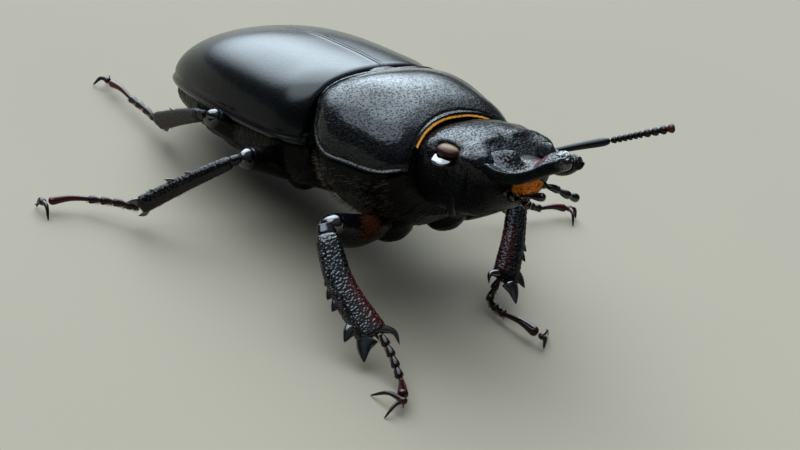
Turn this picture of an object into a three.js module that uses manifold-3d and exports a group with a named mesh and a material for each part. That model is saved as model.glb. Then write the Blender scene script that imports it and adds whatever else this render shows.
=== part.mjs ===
// A female stag beetle, life size, standing with its fore body raised.
// Millimetres, +Z up, the head towards -Y and the tail towards +Y, the floor at z = 0.
// The trunk is drawn level in a frame of its own and then pitched nose up; the legs are
// drawn where they stand. A surface of the trunk is a run of closed rings, one for each
// station along the body, and each limb is an oval section carried along a curve.
import * as THREE from 'three';
import { mergeVertices } from 'three/addons/utils/BufferGeometryUtils.js';
import Module from 'manifold-3d';

const wasm = await Module();
wasm.setup();

// ---------------------------------------------------------------- driving sizes
const PITCH = THREE.MathUtils.degToRad(12);      // nose-up tilt of the trunk
const LIFT = 7.44;                               // height of the elytral margin above the floor
const HEAD_TURN = THREE.MathUtils.degToRad(5);   // the head looks a little to its left
const CENTRE = new THREE.Vector2(0.305, -1.395); // middle of the whole beetle's box, in plan
const GAP = 0.12;                                // thin cut between neighbouring plates
const FLAT = 0.04;                               // depth cut off each claw to give it a flat

const ELYTRA = {
  front: -4.4, widest: 0, apex: 15.9, halfWidth: 7.88, rise: 5.4, crestAt: 1.7,
  droop: 1.0, droopFrom: 3, thickness: 0.6, suture: 0.05, boxiness: 2.55,
};
const BELLY = { front: -4.3, rear: 15.2, waist: 3.3, depth: 4.3, deepest: 0.5, inset: 0.45, boxiness: 2.2 };
const COLLAR = { front: -5.1, rear: -4.0, middle: 0.5, share: 0.92 };
const SCUTELLUM = { front: -4.6, shoulder: -3.2, tip: -2.72, halfWidth: 1.25, base: 4.15, thickness: 0.85 };
const PRONOTUM = { thickness: 0.75, lip: 0.55, boxiness: 2.5, bow: 1.6 };
const HEAD = {
  neck: new THREE.Vector3(0, -11.8, 1), rear: -11.2, length: 6.95, boxiness: 2.7, sideLevel: 1.3,
};
const EYE = { centre: new THREE.Vector3(4.0, -14.75, 2.5), radius: new THREE.Vector3(0.85, 1.0, 0.95) };
const CANTHUS = { centre: new THREE.Vector3(4.05, -16.3, 2.3), radius: new THREE.Vector3(0.7, 0.9, 0.5) };

// ---------------------------------------------------------------- solids
const { sin, cos, abs, sign, PI } = Math;
const vec = (x, y, z) => new THREE.Vector3(x, y, z);
const clamp01 = (t) => Math.min(1, Math.max(0, t));
const roundedEnd = (t, a, b) => (1 - clamp01(t) ** a) ** (1 / b);

/** A smooth value through a few [at, value] stations. */
function through(stations) {
  const curve = new THREE.CatmullRomCurve3(stations.map(([at, v]) => vec(at, v, 0)), false, 'centripetal');
  const table = curve.getPoints(240);
  return (at) => {
    let i = table.findIndex((p) => (p.x - at) * sign(table.at(-1).x - table[0].x) >= 0);
    if (i < 0) return table.at(-1).y;
    if (i === 0) return table[0].y;
    const [a, b] = [table[i - 1], table[i]];
    return a.y + (b.y - a.y) * (at - a.x) / (b.x - a.x);
  };
}

/** Joins closed rings of equal length into a closed body; a shell's end is a strip, others a fan. */
function loft(rings, end = 'fan') {
  const n = rings[0].length;
  const points = rings.flat();
  const faces = [];
  for (let k = 0; k + 1 < rings.length; k++) {
    for (let i = 0; i < n; i++) {
      const [a, b] = [k * n + i, k * n + (i + 1) % n];
      faces.push(a, b, b + n, a, b + n, a + n);
    }
  }
  for (const [k, turn] of [[0, 1], [rings.length - 1, -1]]) {
    const add = (a, b, c) => faces.push(...(turn > 0 ? [c, b, a] : [a, b, c]));
    if (end === 'strip') {
      for (let i = 0; i + 1 < n / 2; i++) {
        const [a, b, c, d] = [i, i + 1, n - 2 - i, n - 1 - i].map((j) => k * n + j);
        add(a, b, c);
        add(a, c, d);
      }
    } else {
      const middle = rings[k].reduce((sum, p) => sum.add(p), vec(0, 0, 0)).divideScalar(n);
      points.push(middle);
      for (let i = 0; i < n; i++) add(k * n + i, k * n + (i + 1) % n, points.length - 1);
    }
  }
  const geometry = new THREE.BufferGeometry().setFromPoints(points);
  geometry.setIndex(faces);
  return solid(geometry);
}

/** A closed mesh as a solid, with its faces turned outwards. */
function solid(geometry) {
  geometry.deleteAttribute('normal');
  geometry.deleteAttribute('uv');
  const merged = mergeVertices(geometry, 1e-5);
  const at = merged.getAttribute('position');
  const index = Array.from(merged.index.array);
  const kept = [];
  let volume = 0;
  for (let i = 0; i < index.length; i += 3) {
    const [a, b, c] = index.slice(i, i + 3);
    if (a === b || b === c || c === a) continue;
    const [p, q, r] = [a, b, c].map((j) => vec().fromBufferAttribute(at, j));
    volume += p.dot(q.cross(r));
    kept.push(a, b, c);
  }
  if (volume < 0) kept.reverse();
  return new wasm.Manifold(new wasm.Mesh({
    numProp: 3, vertProperties: new Float32Array(at.array), triVerts: new Uint32Array(kept),
  }));
}

/** An oval section carried along a curve; size(t) gives its half width along side and half depth. */
function limb({ path, size, side, steps = 8, round = 8, grow = 0 }) {
  const rings = [];
  for (let k = 0; k <= steps; k++) {
    const t = k / steps;
    const along = path.getTangentAt(t);
    const across = side.clone().addScaledVector(along, -side.dot(along)).normalize();
    const up = vec().crossVectors(along, across);
    const [a, b] = size(t).map((r) => r + grow);
    const centre = path.getPointAt(t);
    if (k === 0) centre.addScaledVector(along, -grow);
    if (k === steps) centre.addScaledVector(along, grow);
    rings.push(Array.from({ length: round }, (_, i) => {
      const angle = (2 * PI * (i + 0.5)) / round;
      return centre.clone().addScaledVector(across, a * cos(angle)).addScaledVector(up, b * sin(angle));
    }));
  }
  return loft(rings);
}

/** An egg-shaped body with its own half axes, turned by a quaternion. */
function egg(centre, radius, { grow = 0, turn = new THREE.Quaternion(), round = 12, tiers = 8 } = {}) {
  const ball = new THREE.SphereGeometry(1, round, tiers);
  ball.scale(radius.x + grow, radius.y + grow, radius.z + grow);
  ball.applyQuaternion(turn).translate(centre.x, centre.y, centre.z);
  return solid(ball);
}

const spline = (...points) => new THREE.CatmullRomCurve3(points.map((p) => vec(...p)), false, 'centripetal');
const join = (...pieces) => wasm.Manifold.union(pieces);
const without = (piece, ...cutters) => cutters.reduce((rest, cutter) => rest.subtract(cutter), piece);

// ---------------------------------------------------------------- elytra and hind body
function elytraHalfWidth(y) {
  if (y > ELYTRA.widest) {
    return ELYTRA.halfWidth * roundedEnd((y - ELYTRA.widest) / (ELYTRA.apex - ELYTRA.widest), 2, 2.06);
  }
  const taper = 0.3 * ((ELYTRA.widest - y) / 5) ** 2;
  return (ELYTRA.halfWidth - taper) * roundedEnd((-1.5 - y) / 4.6, 2.6, 2);
}
function elytraMargin(y) {
  return -ELYTRA.droop * clamp01((y - ELYTRA.droopFrom) / (ELYTRA.apex - ELYTRA.droopFrom)) ** 2;
}
function elytraRise(y) {
  if (y > ELYTRA.crestAt) {
    return ELYTRA.rise * roundedEnd((y - ELYTRA.crestAt) / (ELYTRA.apex - ELYTRA.crestAt), 2.3, 1.5);
  }
  return ELYTRA.rise - 0.35 * ((ELYTRA.crestAt - y) / (ELYTRA.crestAt - ELYTRA.front)) ** 2;
}
function bellyDepth(y) {
  return BELLY.depth * roundedEnd((y - BELLY.deepest) / (ELYTRA.apex - BELLY.deepest), 2.4, 1.6);
}

/** An arch over the body at y: angle runs from the right margin (0) over the top to the left (PI). */
function arch(y, angle, halfWidth, level, height, boxiness) {
  const x = -sign(cos(angle)) * halfWidth * abs(cos(angle)) ** (2 / boxiness);
  return vec(x, y, level + height * abs(sin(angle)) ** (2 / boxiness));
}

/** Stations that crowd together towards the rounded tail. */
function stations(from, to, count) {
  const share = (i) => sin((PI / 2) * (i / (count - 1)) ** 0.85);
  return Array.from({ length: count }, (_, i) => from + (to - from) * share(i));
}

/** One wing case before it is hollowed: the half dome between the suture and the side margin. */
function elytronBlock(side) {
  const [arc, count] = [8, 10];
  const rings = stations(ELYTRA.front, ELYTRA.apex - 0.03, count).map((y) => {
    const [w, h, low] = [elytraHalfWidth(y), elytraRise(y), elytraMargin(y)];
    const ring = Array.from({ length: arc }, (_, i) => {
      const point = arch(y, (PI / 2) * (i / (arc - 1)), w, low, h, ELYTRA.boxiness);
      return vec(Math.min(point.x, -ELYTRA.suture), y, point.z);
    });
    ring.push(vec(-ELYTRA.suture, y, low));
    return ring.map((p) => vec(-side * p.x, p.y, p.z));
  });
  return loft(rings);
}

/** One ring of the hind body: a low arch under the elytra, and the deep underside. */
function hindRing(y, grow = 0) {
  const half = 8;
  const shy = ELYTRA.thickness + GAP - grow;
  const [w, h, low] = [elytraHalfWidth(y), elytraRise(y), elytraMargin(y)];
  const back = Array.from({ length: half }, (_, i) => arch(
    y, PI * (i / half), Math.max(w - shy, 0.3 * w), low, Math.max(h - shy, 0.25 * h), ELYTRA.boxiness,
  ));
  const under = Array.from({ length: half }, (_, i) => arch(
    y, PI * (1 - i / half), Math.max(w - BELLY.inset, 0.3 * w), low - GAP, -bellyDepth(y), BELLY.boxiness,
  ));
  return [...back, ...under];
}

/** The hind body fills the space under the elytra and hangs below it; grown, it runs out at both ends. */
function hindBody(grow = 0) {
  const rings = stations(BELLY.front, BELLY.rear, 9).map((y) => hindRing(y, grow));
  return loft(grow ? runOut(rings, 1, grow) : rings);
}

/** The collar of the hind body: its front ring, every other point, drawn in and run on to the prothorax. */
function collar() {
  const corners = hindRing(BELLY.front).filter((_, i) => i % 2 === 0);
  const drawnIn = (z) => COLLAR.middle + (z - COLLAR.middle) * COLLAR.share;
  const ring = (y) => corners.map((p) => vec(p.x * COLLAR.share, y, drawnIn(p.z)));
  return loft([COLLAR.front, COLLAR.rear].map(ring));
}

/** The same rings with one more at each end, carried on along the body. */
function runOut(rings, front, rear) {
  const ahead = rings[0].map((p) => vec(p.x, p.y - front, p.z));
  return [ahead, ...rings, rings.at(-1).map((p) => vec(p.x, p.y + rear, p.z))];
}

/** A slab that covers everything from one station to another along the body. */
function slabBetween(from, to) {
  const slab = new THREE.BoxGeometry(60, to - from, 60);
  slab.translate(0, (from + to) / 2, 0);
  return solid(slab);
}

/** The small triangular plate between the bases of the elytra. */
function scutellum(grow = 0) {
  const { shoulder, base, thickness } = SCUTELLUM;
  const [front, tip] = [SCUTELLUM.front - grow, SCUTELLUM.tip + 2 * grow];
  const halfWidth = SCUTELLUM.halfWidth + 1.6 * grow;
  const outline = new THREE.Shape();
  outline.moveTo(-halfWidth, front);
  outline.quadraticCurveTo(-halfWidth * 0.8, shoulder, 0, tip);
  outline.quadraticCurveTo(halfWidth * 0.8, shoulder, halfWidth, front);
  const plate = new THREE.ExtrudeGeometry(outline, {
    depth: thickness + 2 * grow, bevelEnabled: false, curveSegments: 5,
  });
  plate.translate(0, 0, base - grow);
  return solid(plate);
}

// ---------------------------------------------------------------- prothorax
// Side edge from the front angle past the lateral angle to the hind angle, and the midline.
const sideEdge = spline(
  [5.45, -12.9, 0.6], [6.5, -11.5, 0.15], [7.15, -9.2, 0.15],
  [7.5, -7.1, 0.3], [7.1, -5.7, 1.2], [5.95, -4.45, 2.95],
);
const midline = spline(
  [0, -11.95, 3.8], [0, -10.4, 4.75], [0, -8.2, 5.3], [0, -6.4, 5.35], [0, -5.1, 5.05],
);
const keel = spline([0, -12.6, -3.2], [0, -10, -4.9], [0, -7, -4.6], [0, -5.0, -4.0]);

/** Half a ring of the prothorax at v (0 front, 1 rear): the arch of the back, or the underside. */
function prothoraxArc(v, under, shrink, inset) {
  const edge = sideEdge.getPoint(v);
  const middle = (under ? keel : midline).getPoint(v);
  const count = 10;
  const [boxX, boxZ] = under ? [2.2, 2] : [PRONOTUM.boxiness, PRONOTUM.boxiness];
  const level = edge.z - (under ? GAP : 0);
  return Array.from({ length: count + 1 }, (_, i) => {
    const [c, s] = [cos(PI * (i / count)), abs(sin(PI * (i / count)))];
    const x = -sign(c) * (edge.x - inset) * abs(c) ** (2 / boxX);
    const y = middle.y + (edge.y - middle.y) * abs(c) ** PRONOTUM.bow;
    return vec(x, y, level + (middle.z - shrink - level) * s ** (2 / boxZ));
  });
}
const along = (count) => Array.from({ length: count }, (_, i) => i / (count - 1));

/** The shield of the back before it is hollowed, closed straight across from edge to edge. */
function pronotumBlock(grow = 0) {
  const rings = along(8).map((v) => {
    const back = prothoraxArc(v, false, -grow, -grow);
    return [...back, back.at(-1).clone().lerp(back[0], 0.5)];
  });
  return loft(grow ? runOut(rings, grow, grow) : rings);
}

/** The inside and underside of the prothorax; grown, it also runs out ahead and behind. */
function prosternumBlock(grow = 0, behind = 1) {
  const [shrink, inset] = [PRONOTUM.thickness + GAP - grow, PRONOTUM.lip + GAP - grow];
  const rings = along(6).map((t) => {
    const v = 0.02 + 0.96 * t;
    return [...prothoraxArc(v, false, shrink, inset), ...prothoraxArc(v, true, 0, GAP).reverse()];
  });
  return loft(grow ? runOut(rings, 1, behind) : rings);
}

// ---------------------------------------------------------------- head (turned about the neck)
const headTurn = new THREE.Matrix4()
  .makeTranslation(HEAD.neck)
  .multiply(new THREE.Matrix4().makeRotationZ(HEAD_TURN))
  .multiply(new THREE.Matrix4().makeTranslation(HEAD.neck.clone().negate()));
// Half width, top and underside of the head at stations from the neck to the lip.
const headWidth = through([
  [-11.2, 3.7], [-12.6, 4.25], [-14.2, 4.4], [-15.8, 4.5], [-17.0, 4.3], [-17.8, 3.6], [-18.15, 2.6],
]);
const headTop = through([
  [-11.2, 3.0], [-12.6, 3.6], [-14.2, 3.9], [-15.8, 3.75], [-17.0, 3.3], [-17.8, 2.7], [-18.15, 2.4],
]);
const headBase = through([
  [-11.2, -2.0], [-12.6, -2.3], [-14.2, -2.3], [-15.8, -2.1], [-17.0, -1.6], [-17.8, -0.8], [-18.15, 0.1],
]);

function headBlock(grow = 0) {
  const count = 14;
  const rings = along(7).map((t) => {
    const y = HEAD.rear - HEAD.length * t;
    const [w, top, base] = [headWidth(y) + grow, headTop(y) + grow, headBase(y) - grow];
    const reach = t === 1 ? -grow : t === 0 ? grow : 0;
    return Array.from({ length: count }, (_, i) => {
      const [c, s] = [cos((2 * PI * i) / count), sin((2 * PI * i) / count)];
      const height = s > 0 ? top - HEAD.sideLevel : HEAD.sideLevel - base;
      return vec(w * sign(c) * abs(c) ** (2 / HEAD.boxiness), y + reach,
        HEAD.sideLevel + height * sign(s) * abs(s) ** (2 / HEAD.boxiness));
    });
  });
  return loft(rings);
}
const onSide = (side, { x, y, z }) => vec(side * x, y, z);
const eyeball = (side, grow = 0) => egg(onSide(side, EYE.centre), EYE.radius, { grow, round: 10, tiers: 6 });
const canthus = (side, grow = 0) => (
  egg(onSide(side, CANTHUS.centre), CANTHUS.radius, { grow, round: 8, tiers: 4 }));

/** Jaw: deep and blunt, bowed outwards, its tip turned up and in; the left one is a little more open. */
function mandible(side, grow = 0) {
  const open = side > 0 ? 0.4 : 0;
  const at = (x, y, z) => [side * x, y, z];
  const blade = limb({
    path: spline(at(2.85, -16.7, 2.0), at(2.95 + 0.2 * open, -18.4, 2.1), at(2.45 + 0.5 * open, -19.9, 2.3),
      at(1.5 + 0.8 * open, -21.2, 2.75), at(0.5 + open, -22.1, 3.45)),
    size: (t) => [1.0 * roundedEnd(t * 0.95, 2.4, 1.5) + 0.1, 0.82 * roundedEnd(t * 0.93, 2, 1.6) + 0.1],
    side: vec(1, 0, 0), steps: 7, round: 8, grow,
  });
  const tooth = limb({
    path: spline(at(2.1 + 0.4 * open, -19.4, 2.4), at(1.3 + 0.5 * open, -19.7, 2.8),
      at(0.8 + 0.6 * open, -19.9, 3.1)),
    size: (t) => [0.6 * (1 - t) + 0.14, 0.5 * (1 - t) + 0.12], side: vec(0, 1, 0), steps: 2, round: 5, grow,
  });
  return join(blade, tooth);
}

/** A tuft of hair below the jaws, as a plain spindle. */
function mouthBrush(side, grow = 0) {
  const swell = (t) => sin(PI * t ** 0.7);
  return limb({
    path: spline([side * 0.62, -17.5, 0.5], [side * 0.62, -18.8, 0.75], [side * 0.5, -20.0, 1.0]),
    size: (t) => [0.34 + 0.24 * swell(t), 0.36 + 0.3 * swell(t)],
    side: vec(1, 0, 0), steps: 4, round: 6, grow,
  });
}

/** The lip plate between the jaws. */
const labrum = () => limb({
  path: spline([0, -17.9, 2.25], [0, -18.6, 2.2], [0, -19.1, 2.1]),
  size: (t) => [1.2 * (1 - 0.75 * t * t), 0.32 - 0.06 * t], side: vec(1, 0, 0), steps: 3, round: 6,
});

/** A chain of beads: a limb whose section swells and narrows count times and rounds off at its tip. */
function beads({ path, radius, count, waist = 0.75, round = 6, grow = 0, perBead = 2 }) {
  const tipAt = 1 - 0.4 / count;
  const size = (t) => {
    const swell = waist + (1 - waist) * abs(sin(PI * count * t)) ** 0.6;
    const tip = t > tipAt ? roundedEnd((t - tipAt) / (1 - tipAt), 2, 2) * 0.8 + 0.2 : 1;
    return [radius(t) * swell * tip, radius(t) * swell * tip];
  };
  return limb({ path, size, side: vec(0, 0, 1), steps: perBead * count, round, grow });
}

const PALPS = {
  maxillary_palp_right: [[-1.75, -17.7, 0.55], [-1.55, -18.6, 0.3], [-1.4, -19.3, 0.1], [-1.3, -20.1, -0.05]],
  maxillary_palp_left: [[1.5, -18.0, 0.55], [2.3, -19.3, 0.4], [3.1, -19.8, 0.0], [4.3, -20.0, -0.45]],
  labial_palp_right: [[-0.5, -17.6, -0.35], [-0.6, -18.6, -0.25], [-0.65, -19.5, -0.1]],
  labial_palp_left: [[0.5, -17.6, -0.35], [0.8, -18.6, -0.15], [1.0, -19.6, 0.05]],
};
const palp = (route, grow = 0) => beads({
  path: spline(...route), radius: (t) => 0.25 + 0.06 * t, count: route.length - 1, round: 5, grow,
});

// The left feeler reaches forward; the right one is folded under the head.
const FEELERS = {
  right: [
    [-4.1, -16.15, 0.7], [-3.95, -15.6, -0.85], [-2.9, -14.9, -2.0],
    [-1.2, -14.3, -2.5], [0.6, -13.8, -2.6],
  ],
  left: [[4.2, -16.1, 1.5], [5.6, -18.1, 2.5], [7.25, -19.95, 3.3], [8.5, -21.6, 4.1], [9.75, -23.3, 4.9]],
};
const scape = ([base, middle, elbow], grow = 0) => limb({
  path: spline(base, middle, elbow), size: (t) => [0.25 + 0.12 * t * t, 0.25 + 0.12 * t * t],
  side: vec(0, 0, 1), steps: 4, round: 5, grow,
});
const funicle = ([, , elbow, joint], grow = 0) => beads({
  path: spline(elbow, joint), radius: () => 0.27, count: 6, round: 5, grow, waist: 0.85,
});
const club = ([, , , joint, tip]) => beads({
  path: spline(joint, tip), radius: (t) => 0.3 + 0.06 * t, count: 4, round: 5,
});

// ---------------------------------------------------------------- limbs on the floor
const trunkToFloor = (p) => vec(p.x, cos(PITCH) * p.y + sin(PITCH) * p.z,
  -sin(PITCH) * p.y + cos(PITCH) * p.z + LIFT);

// Joints of each leg where it stands; the hip is given in the trunk's own frame. The four short
// segments of the foot run from the ankle over the arch to the sole, the fifth from there to the toe,
// edge is the way the outer, toothed edge of the shin looks, bow how far the shin curves out and sag how
// far the middle of the thigh rises.
const LEGS = {
  front_right: {
    kind: 'fore', hip: [-2.7, -9.8, -4.5], knee: [-10.4, -11.45, 6.8], ankle: [-9.6, -18.3, 2.35],
    arch: [-9.65, -19.9, 1.55], sole: [-9.85, -21.2, 0.8], toe: [-11.2, -22.95, 0.8],
    claws: [[-13.15, -23.6], [-12.35, -21.3]], edge: [-0.75, 0.25, -0.35], bow: 0.6, sag: -0.6,
  },
  front_left: {
    kind: 'fore', hip: [2.7, -9.8, -4.5], knee: [10.2, -10.5, 5.8], ankle: [4.5, -15.6, 2.4],
    arch: [3.85, -16.05, 0.85], sole: [3.85, -17.65, 0.65], toe: [4.3, -20.5, 0.8],
    claws: [[4.4, -21.4], [6.1, -20.2]], edge: [0.75, -0.4, -0.3], bow: 0.2, sag: 0.3,
  },
  middle_right: {
    kind: 'middle', hip: [-3.2, -1.0, -3.7], knee: [-10.7, -2.5, 6.8], ankle: [-15.45, 0.85, 1.5],
    arch: [-16.7, 2.15, 1.4], sole: [-18.0, 3.4, 1.1], toe: [-20.7, 4.25, 0.8],
    claws: [[-21.3, 3.1], [-21.1, 4.9]], edge: [-0.4, 0.1, 0.8], bow: 0.1, sag: 0.35,
  },
  middle_left: {
    kind: 'middle', hip: [3.2, -1.0, -3.7], knee: [10.4, -2.8, 7.3], ankle: [14.5, -7.0, 1.8],
    arch: [16.25, -7.2, 1.6], sole: [18.0, -7.35, 1.1], toe: [20.8, -7.7, 0.85],
    claws: [[20.6, -9.1], [21.9, -8.2]], edge: [0.4, 0.1, 0.8], bow: 0.1, sag: 0.35,
  },
  hind_right: {
    kind: 'hind', hip: [-2.8, 2.2, -3.7], knee: [-8.7, 4.0, 6.4], ankle: [-6.25, 11.1, 1.45],
    arch: [-6.0, 13.3, 1.35], sole: [-5.8, 15.5, 1.1], toe: [-5.6, 18.5, 0.85],
    claws: [[-6.2, 19.7], [-4.8, 19.8]], edge: [-0.5, 0.1, 0.7], bow: 0.1, sag: 0.35,
  },
  hind_left: {
    kind: 'hind', hip: [2.8, 2.2, -3.7], knee: [8.6, 4.6, 6.4], ankle: [8.6, 12.4, 1.45],
    arch: [8.8, 14.5, 1.35], sole: [9.0, 16.6, 1.1], toe: [9.3, 19.5, 0.85],
    claws: [[8.8, 20.8], [10.2, 20.8]], edge: [0.5, 0.1, 0.7], bow: 0.1, sag: 0.35,
  },
};
// Half widths of the thigh, half widths and half thickness of the shin, how far its end stands out from
// the ankle, half axes of the coxa, teeth as [place along the shin, length, half width] and the length
// of the inner spur.
const KINDS = {
  fore: {
    femur: [1.35, 1.1], tibia: [0.82, 1.12], thick: 0.5, heel: 0.55, coxa: [1.9, 1.25, 1.35],
    teeth: [[0.42, 0.25, 0.3], [0.52, 0.45, 0.35], [0.62, 0.5, 0.35], [0.86, 0.9, 0.45], [0.985, 1.1, 0.5]],
    spur: 1.7,
  },
  middle: {
    femur: [1.0, 0.8], tibia: [0.5, 0.72], thick: 0.45, heel: 0.15, coxa: [1.35, 1.3, 1.15],
    teeth: [[0.45, 0.35, 0.2], [0.62, 0.55, 0.24], [0.8, 0.3, 0.2], [0.97, 0.5, 0.3]], spur: 0.9,
  },
  hind: {
    femur: [1.05, 0.8], tibia: [0.5, 0.78], thick: 0.45, heel: 0.15, coxa: [2.3, 1.0, 1.0],
    teeth: [[0.55, 0.4, 0.22], [0.97, 0.5, 0.3]], spur: 0.9,
  },
};

function coxa(leg, grow = 0) {
  const turn = new THREE.Quaternion().setFromAxisAngle(vec(1, 0, 0), -PITCH);
  const centre = trunkToFloor(vec(...leg.hip));
  return egg(centre, vec(...KINDS[leg.kind].coxa), { grow, turn, round: 8, tiers: 4 });
}

/** The joints of a leg as points, with the measures of its kind. */
function legFrame(leg) {
  const [knee, ankle, arch, sole, toe, edge] = [leg.knee, leg.ankle, leg.arch, leg.sole, leg.toe, leg.edge]
    .map((p) => vec(...p));
  return { hip: trunkToFloor(vec(...leg.hip)), knee, ankle, arch, sole, toe, edge, kind: KINDS[leg.kind] };
}

/** Thigh: swollen in its middle, narrow at the hip, rounded at the knee. */
function femur(leg, grow = 0) {
  const { hip, knee, edge, kind } = legFrame(leg);
  const start = hip.clone().lerp(knee, 0.1);
  const middle = start.clone().lerp(knee, 0.5).add(vec(0, 0, leg.sag));
  const path = new THREE.CatmullRomCurve3([start, middle, knee]);
  const [a, b] = kind.femur;
  const size = (t) => {
    const swell = 0.62 + 0.38 * sin(PI * clamp01(t * 1.05)) ** 0.8;
    const end = t > 0.9 ? roundedEnd((t - 0.9) / 0.115, 2, 2) : 1;
    return [a * swell * end, b * swell * end];
  };
  return limb({ path, size, side: edge, steps: 5, round: 6, grow });
}

/** Shin: flattened, widening to its end, with teeth along the outer edge and a spur inside. */
function tibia(leg, grow = 0) {
  const { knee, ankle, edge, kind } = legFrame(leg);
  const down = ankle.clone().sub(knee).normalize();
  const out = edge.clone().addScaledVector(down, -edge.dot(down)).normalize();
  const reach = (from, outwards, onwards) => (
    from.clone().addScaledVector(out, outwards).addScaledVector(down, onwards));
  const end = reach(ankle, kind.heel, 0);
  const path = new THREE.CatmullRomCurve3([knee, reach(knee.clone().lerp(end, 0.5), leg.bow, 0), end]);
  const [narrow, wide] = kind.tibia;
  const neck = (t) => Math.min(1, 0.72 + 2.4 * t);
  const width = (t) => (narrow + (wide - narrow) * t) * neck(t);
  const size = (t) => [width(t), kind.thick * neck(t)];
  const blade = limb({ path, size, side: out, steps: 5, round: 6, grow });
  const teeth = kind.teeth.map(([at, length, base]) => {
    const root = reach(path.getPointAt(at), width(at) * 0.6, 0);
    const far = width(at) * 0.4 + length;
    return limb({
      path: new THREE.LineCurve3(root, reach(root, far, far * 0.55)),
      size: (t) => [base * (1 - 0.8 * t), base * (0.8 - 0.55 * t)], side: down, steps: 1, round: 4, grow,
    });
  });
  const inner = reach(end, -wide * 0.6, -0.35);
  const bend = reach(inner, -kind.spur * 0.45, kind.spur * 0.55);
  const spur = limb({
    path: new THREE.CatmullRomCurve3([inner, bend, reach(inner, -kind.spur * 0.6, kind.spur)]),
    size: (t) => [0.4 - 0.3 * t, 0.35 - 0.26 * t], side: out, steps: 2, round: 4, grow,
  });
  return join(blade, ...teeth, spur);
}

/** Foot: four short segments and a long fifth one. */
function tarsus(leg, grow = 0) {
  const { ankle, arch, sole, toe, kind } = legFrame(leg);
  const start = ankle.clone().lerp(arch, kind.thick * 0.1);
  const path = new THREE.CatmullRomCurve3([start, arch, sole]);
  const chain = beads({ path, radius: () => 0.3, count: 4, round: 5, grow });
  const last = limb({
    path: new THREE.LineCurve3(sole, toe), size: (t) => [0.25 + 0.09 * t, 0.25 + 0.09 * t],
    side: vec(0, 0, 1), steps: 2, round: 5, grow,
  });
  return join(chain, last);
}

/** The pair of hooked claws; each tip has a small flat where it stands on the floor. */
function claws(leg) {
  const { sole, toe } = legFrame(leg);
  const root = toe.clone().addScaledVector(toe.clone().sub(sole).normalize(), 0.42);
  const hooks = leg.claws.map(([x, y]) => {
    const tip = vec(x, y, -FLAT);
    const knuckle = root.clone().lerp(tip, 0.5).add(vec(0, 0, 0.42));
    return limb({
      path: new THREE.CatmullRomCurve3([root, knuckle, tip]), size: (t) => [0.27 - 0.17 * t, 0.27 - 0.17 * t],
      side: vec(0, 0, 1), steps: 3, round: 4,
    });
  });
  return join(egg(root, vec(0.3, 0.3, 0.3), { round: 6, tiers: 3 }), ...hooks);
}

const floor = (() => {
  const slab = new THREE.BoxGeometry(120, 120, 20);
  slab.translate(0, 0, -10);
  return solid(slab);
})();

// ---------------------------------------------------------------- the beetle
const beetle = new THREE.Group();
const trunk = new THREE.Group();
const stance = new THREE.Group();
beetle.add(trunk, stance);
trunk.rotation.x = -PITCH;
trunk.position.z = LIFT;

const FINISH = {
  shell: { color: 0x15181c, roughness: 0.3 }, rough_shell: { color: 0x131416, roughness: 0.5 },
  mandible: { color: 0x17171a, roughness: 0.35 }, antenna: { color: 0x101214, roughness: 0.3 },
  leg: { color: 0x120c0c, roughness: 0.35 }, foot: { color: 0x3a1210, roughness: 0.35 },
  eye: { color: 0x2a0f08, roughness: 0.15 }, brush: { color: 0xd9760f, roughness: 0.9 },
};

/** Adds a solid to the scene as a named mesh with its finish. */
function place(group, name, piece, finish) {
  const mesh = piece.getMesh();
  const geometry = new THREE.BufferGeometry();
  geometry.setAttribute('position', new THREE.BufferAttribute(new Float32Array(mesh.vertProperties), 3));
  geometry.setIndex(Array.from(mesh.triVerts));
  geometry.computeVertexNormals();
  const node = new THREE.Mesh(geometry, new THREE.MeshStandardMaterial({ ...FINISH[finish], metalness: 0 }));
  node.name = name;
  group.add(node);
}

const toTrunk = new THREE.Matrix4().makeRotationX(PITCH)
  .multiply(new THREE.Matrix4().makeTranslation(0, 0, -LIFT));
const moved = (piece, matrix) => piece.transform(matrix.toArray());
const sides = { right: -1, left: 1 };
const legNames = Object.keys(LEGS);

const grownPronotum = pronotumBlock(GAP);
const grownHindBody = hindBody(GAP);
const grownScutellum = scutellum(GAP);
const grownNeck = moved(headBlock(GAP), headTurn);
const grownThighs = legNames.map((name) => moved(femur(LEGS[name], GAP), toTrunk));

place(trunk, 'pronotum', without(pronotumBlock(), prosternumBlock(GAP), grownNeck), 'rough_shell');
place(trunk, 'prosternum', without(prosternumBlock(), grownNeck), 'shell');
place(trunk, 'scutellum', without(scutellum(), grownPronotum), 'shell');
const foreHalf = join(hindBody(), collar()).intersect(slabBetween(-9, BELLY.waist - GAP / 2));
const rearHalf = hindBody().intersect(slabBetween(BELLY.waist + GAP / 2, 20));
const behindProthorax = prosternumBlock(GAP, GAP);
place(trunk, 'metathorax', without(foreHalf, grownScutellum, grownPronotum, behindProthorax), 'shell');
place(trunk, 'abdomen', rearHalf, 'shell');
for (const [word, side] of Object.entries(sides)) {
  const hollowed = without(elytronBlock(side), grownHindBody, grownScutellum, grownPronotum, ...grownThighs);
  place(trunk, `elytron_${word}`, hollowed, 'shell');
}

const grownJaws = [mandible(-1, GAP), mandible(1, GAP)];
const grownHead = join(headBlock(GAP), canthus(-1, GAP), canthus(1, GAP));
const grownBrushes = [mouthBrush(-1, GAP), mouthBrush(1, GAP)];
const onHead = (name, piece, finish) => place(trunk, name, moved(piece, headTurn), finish);

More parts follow.
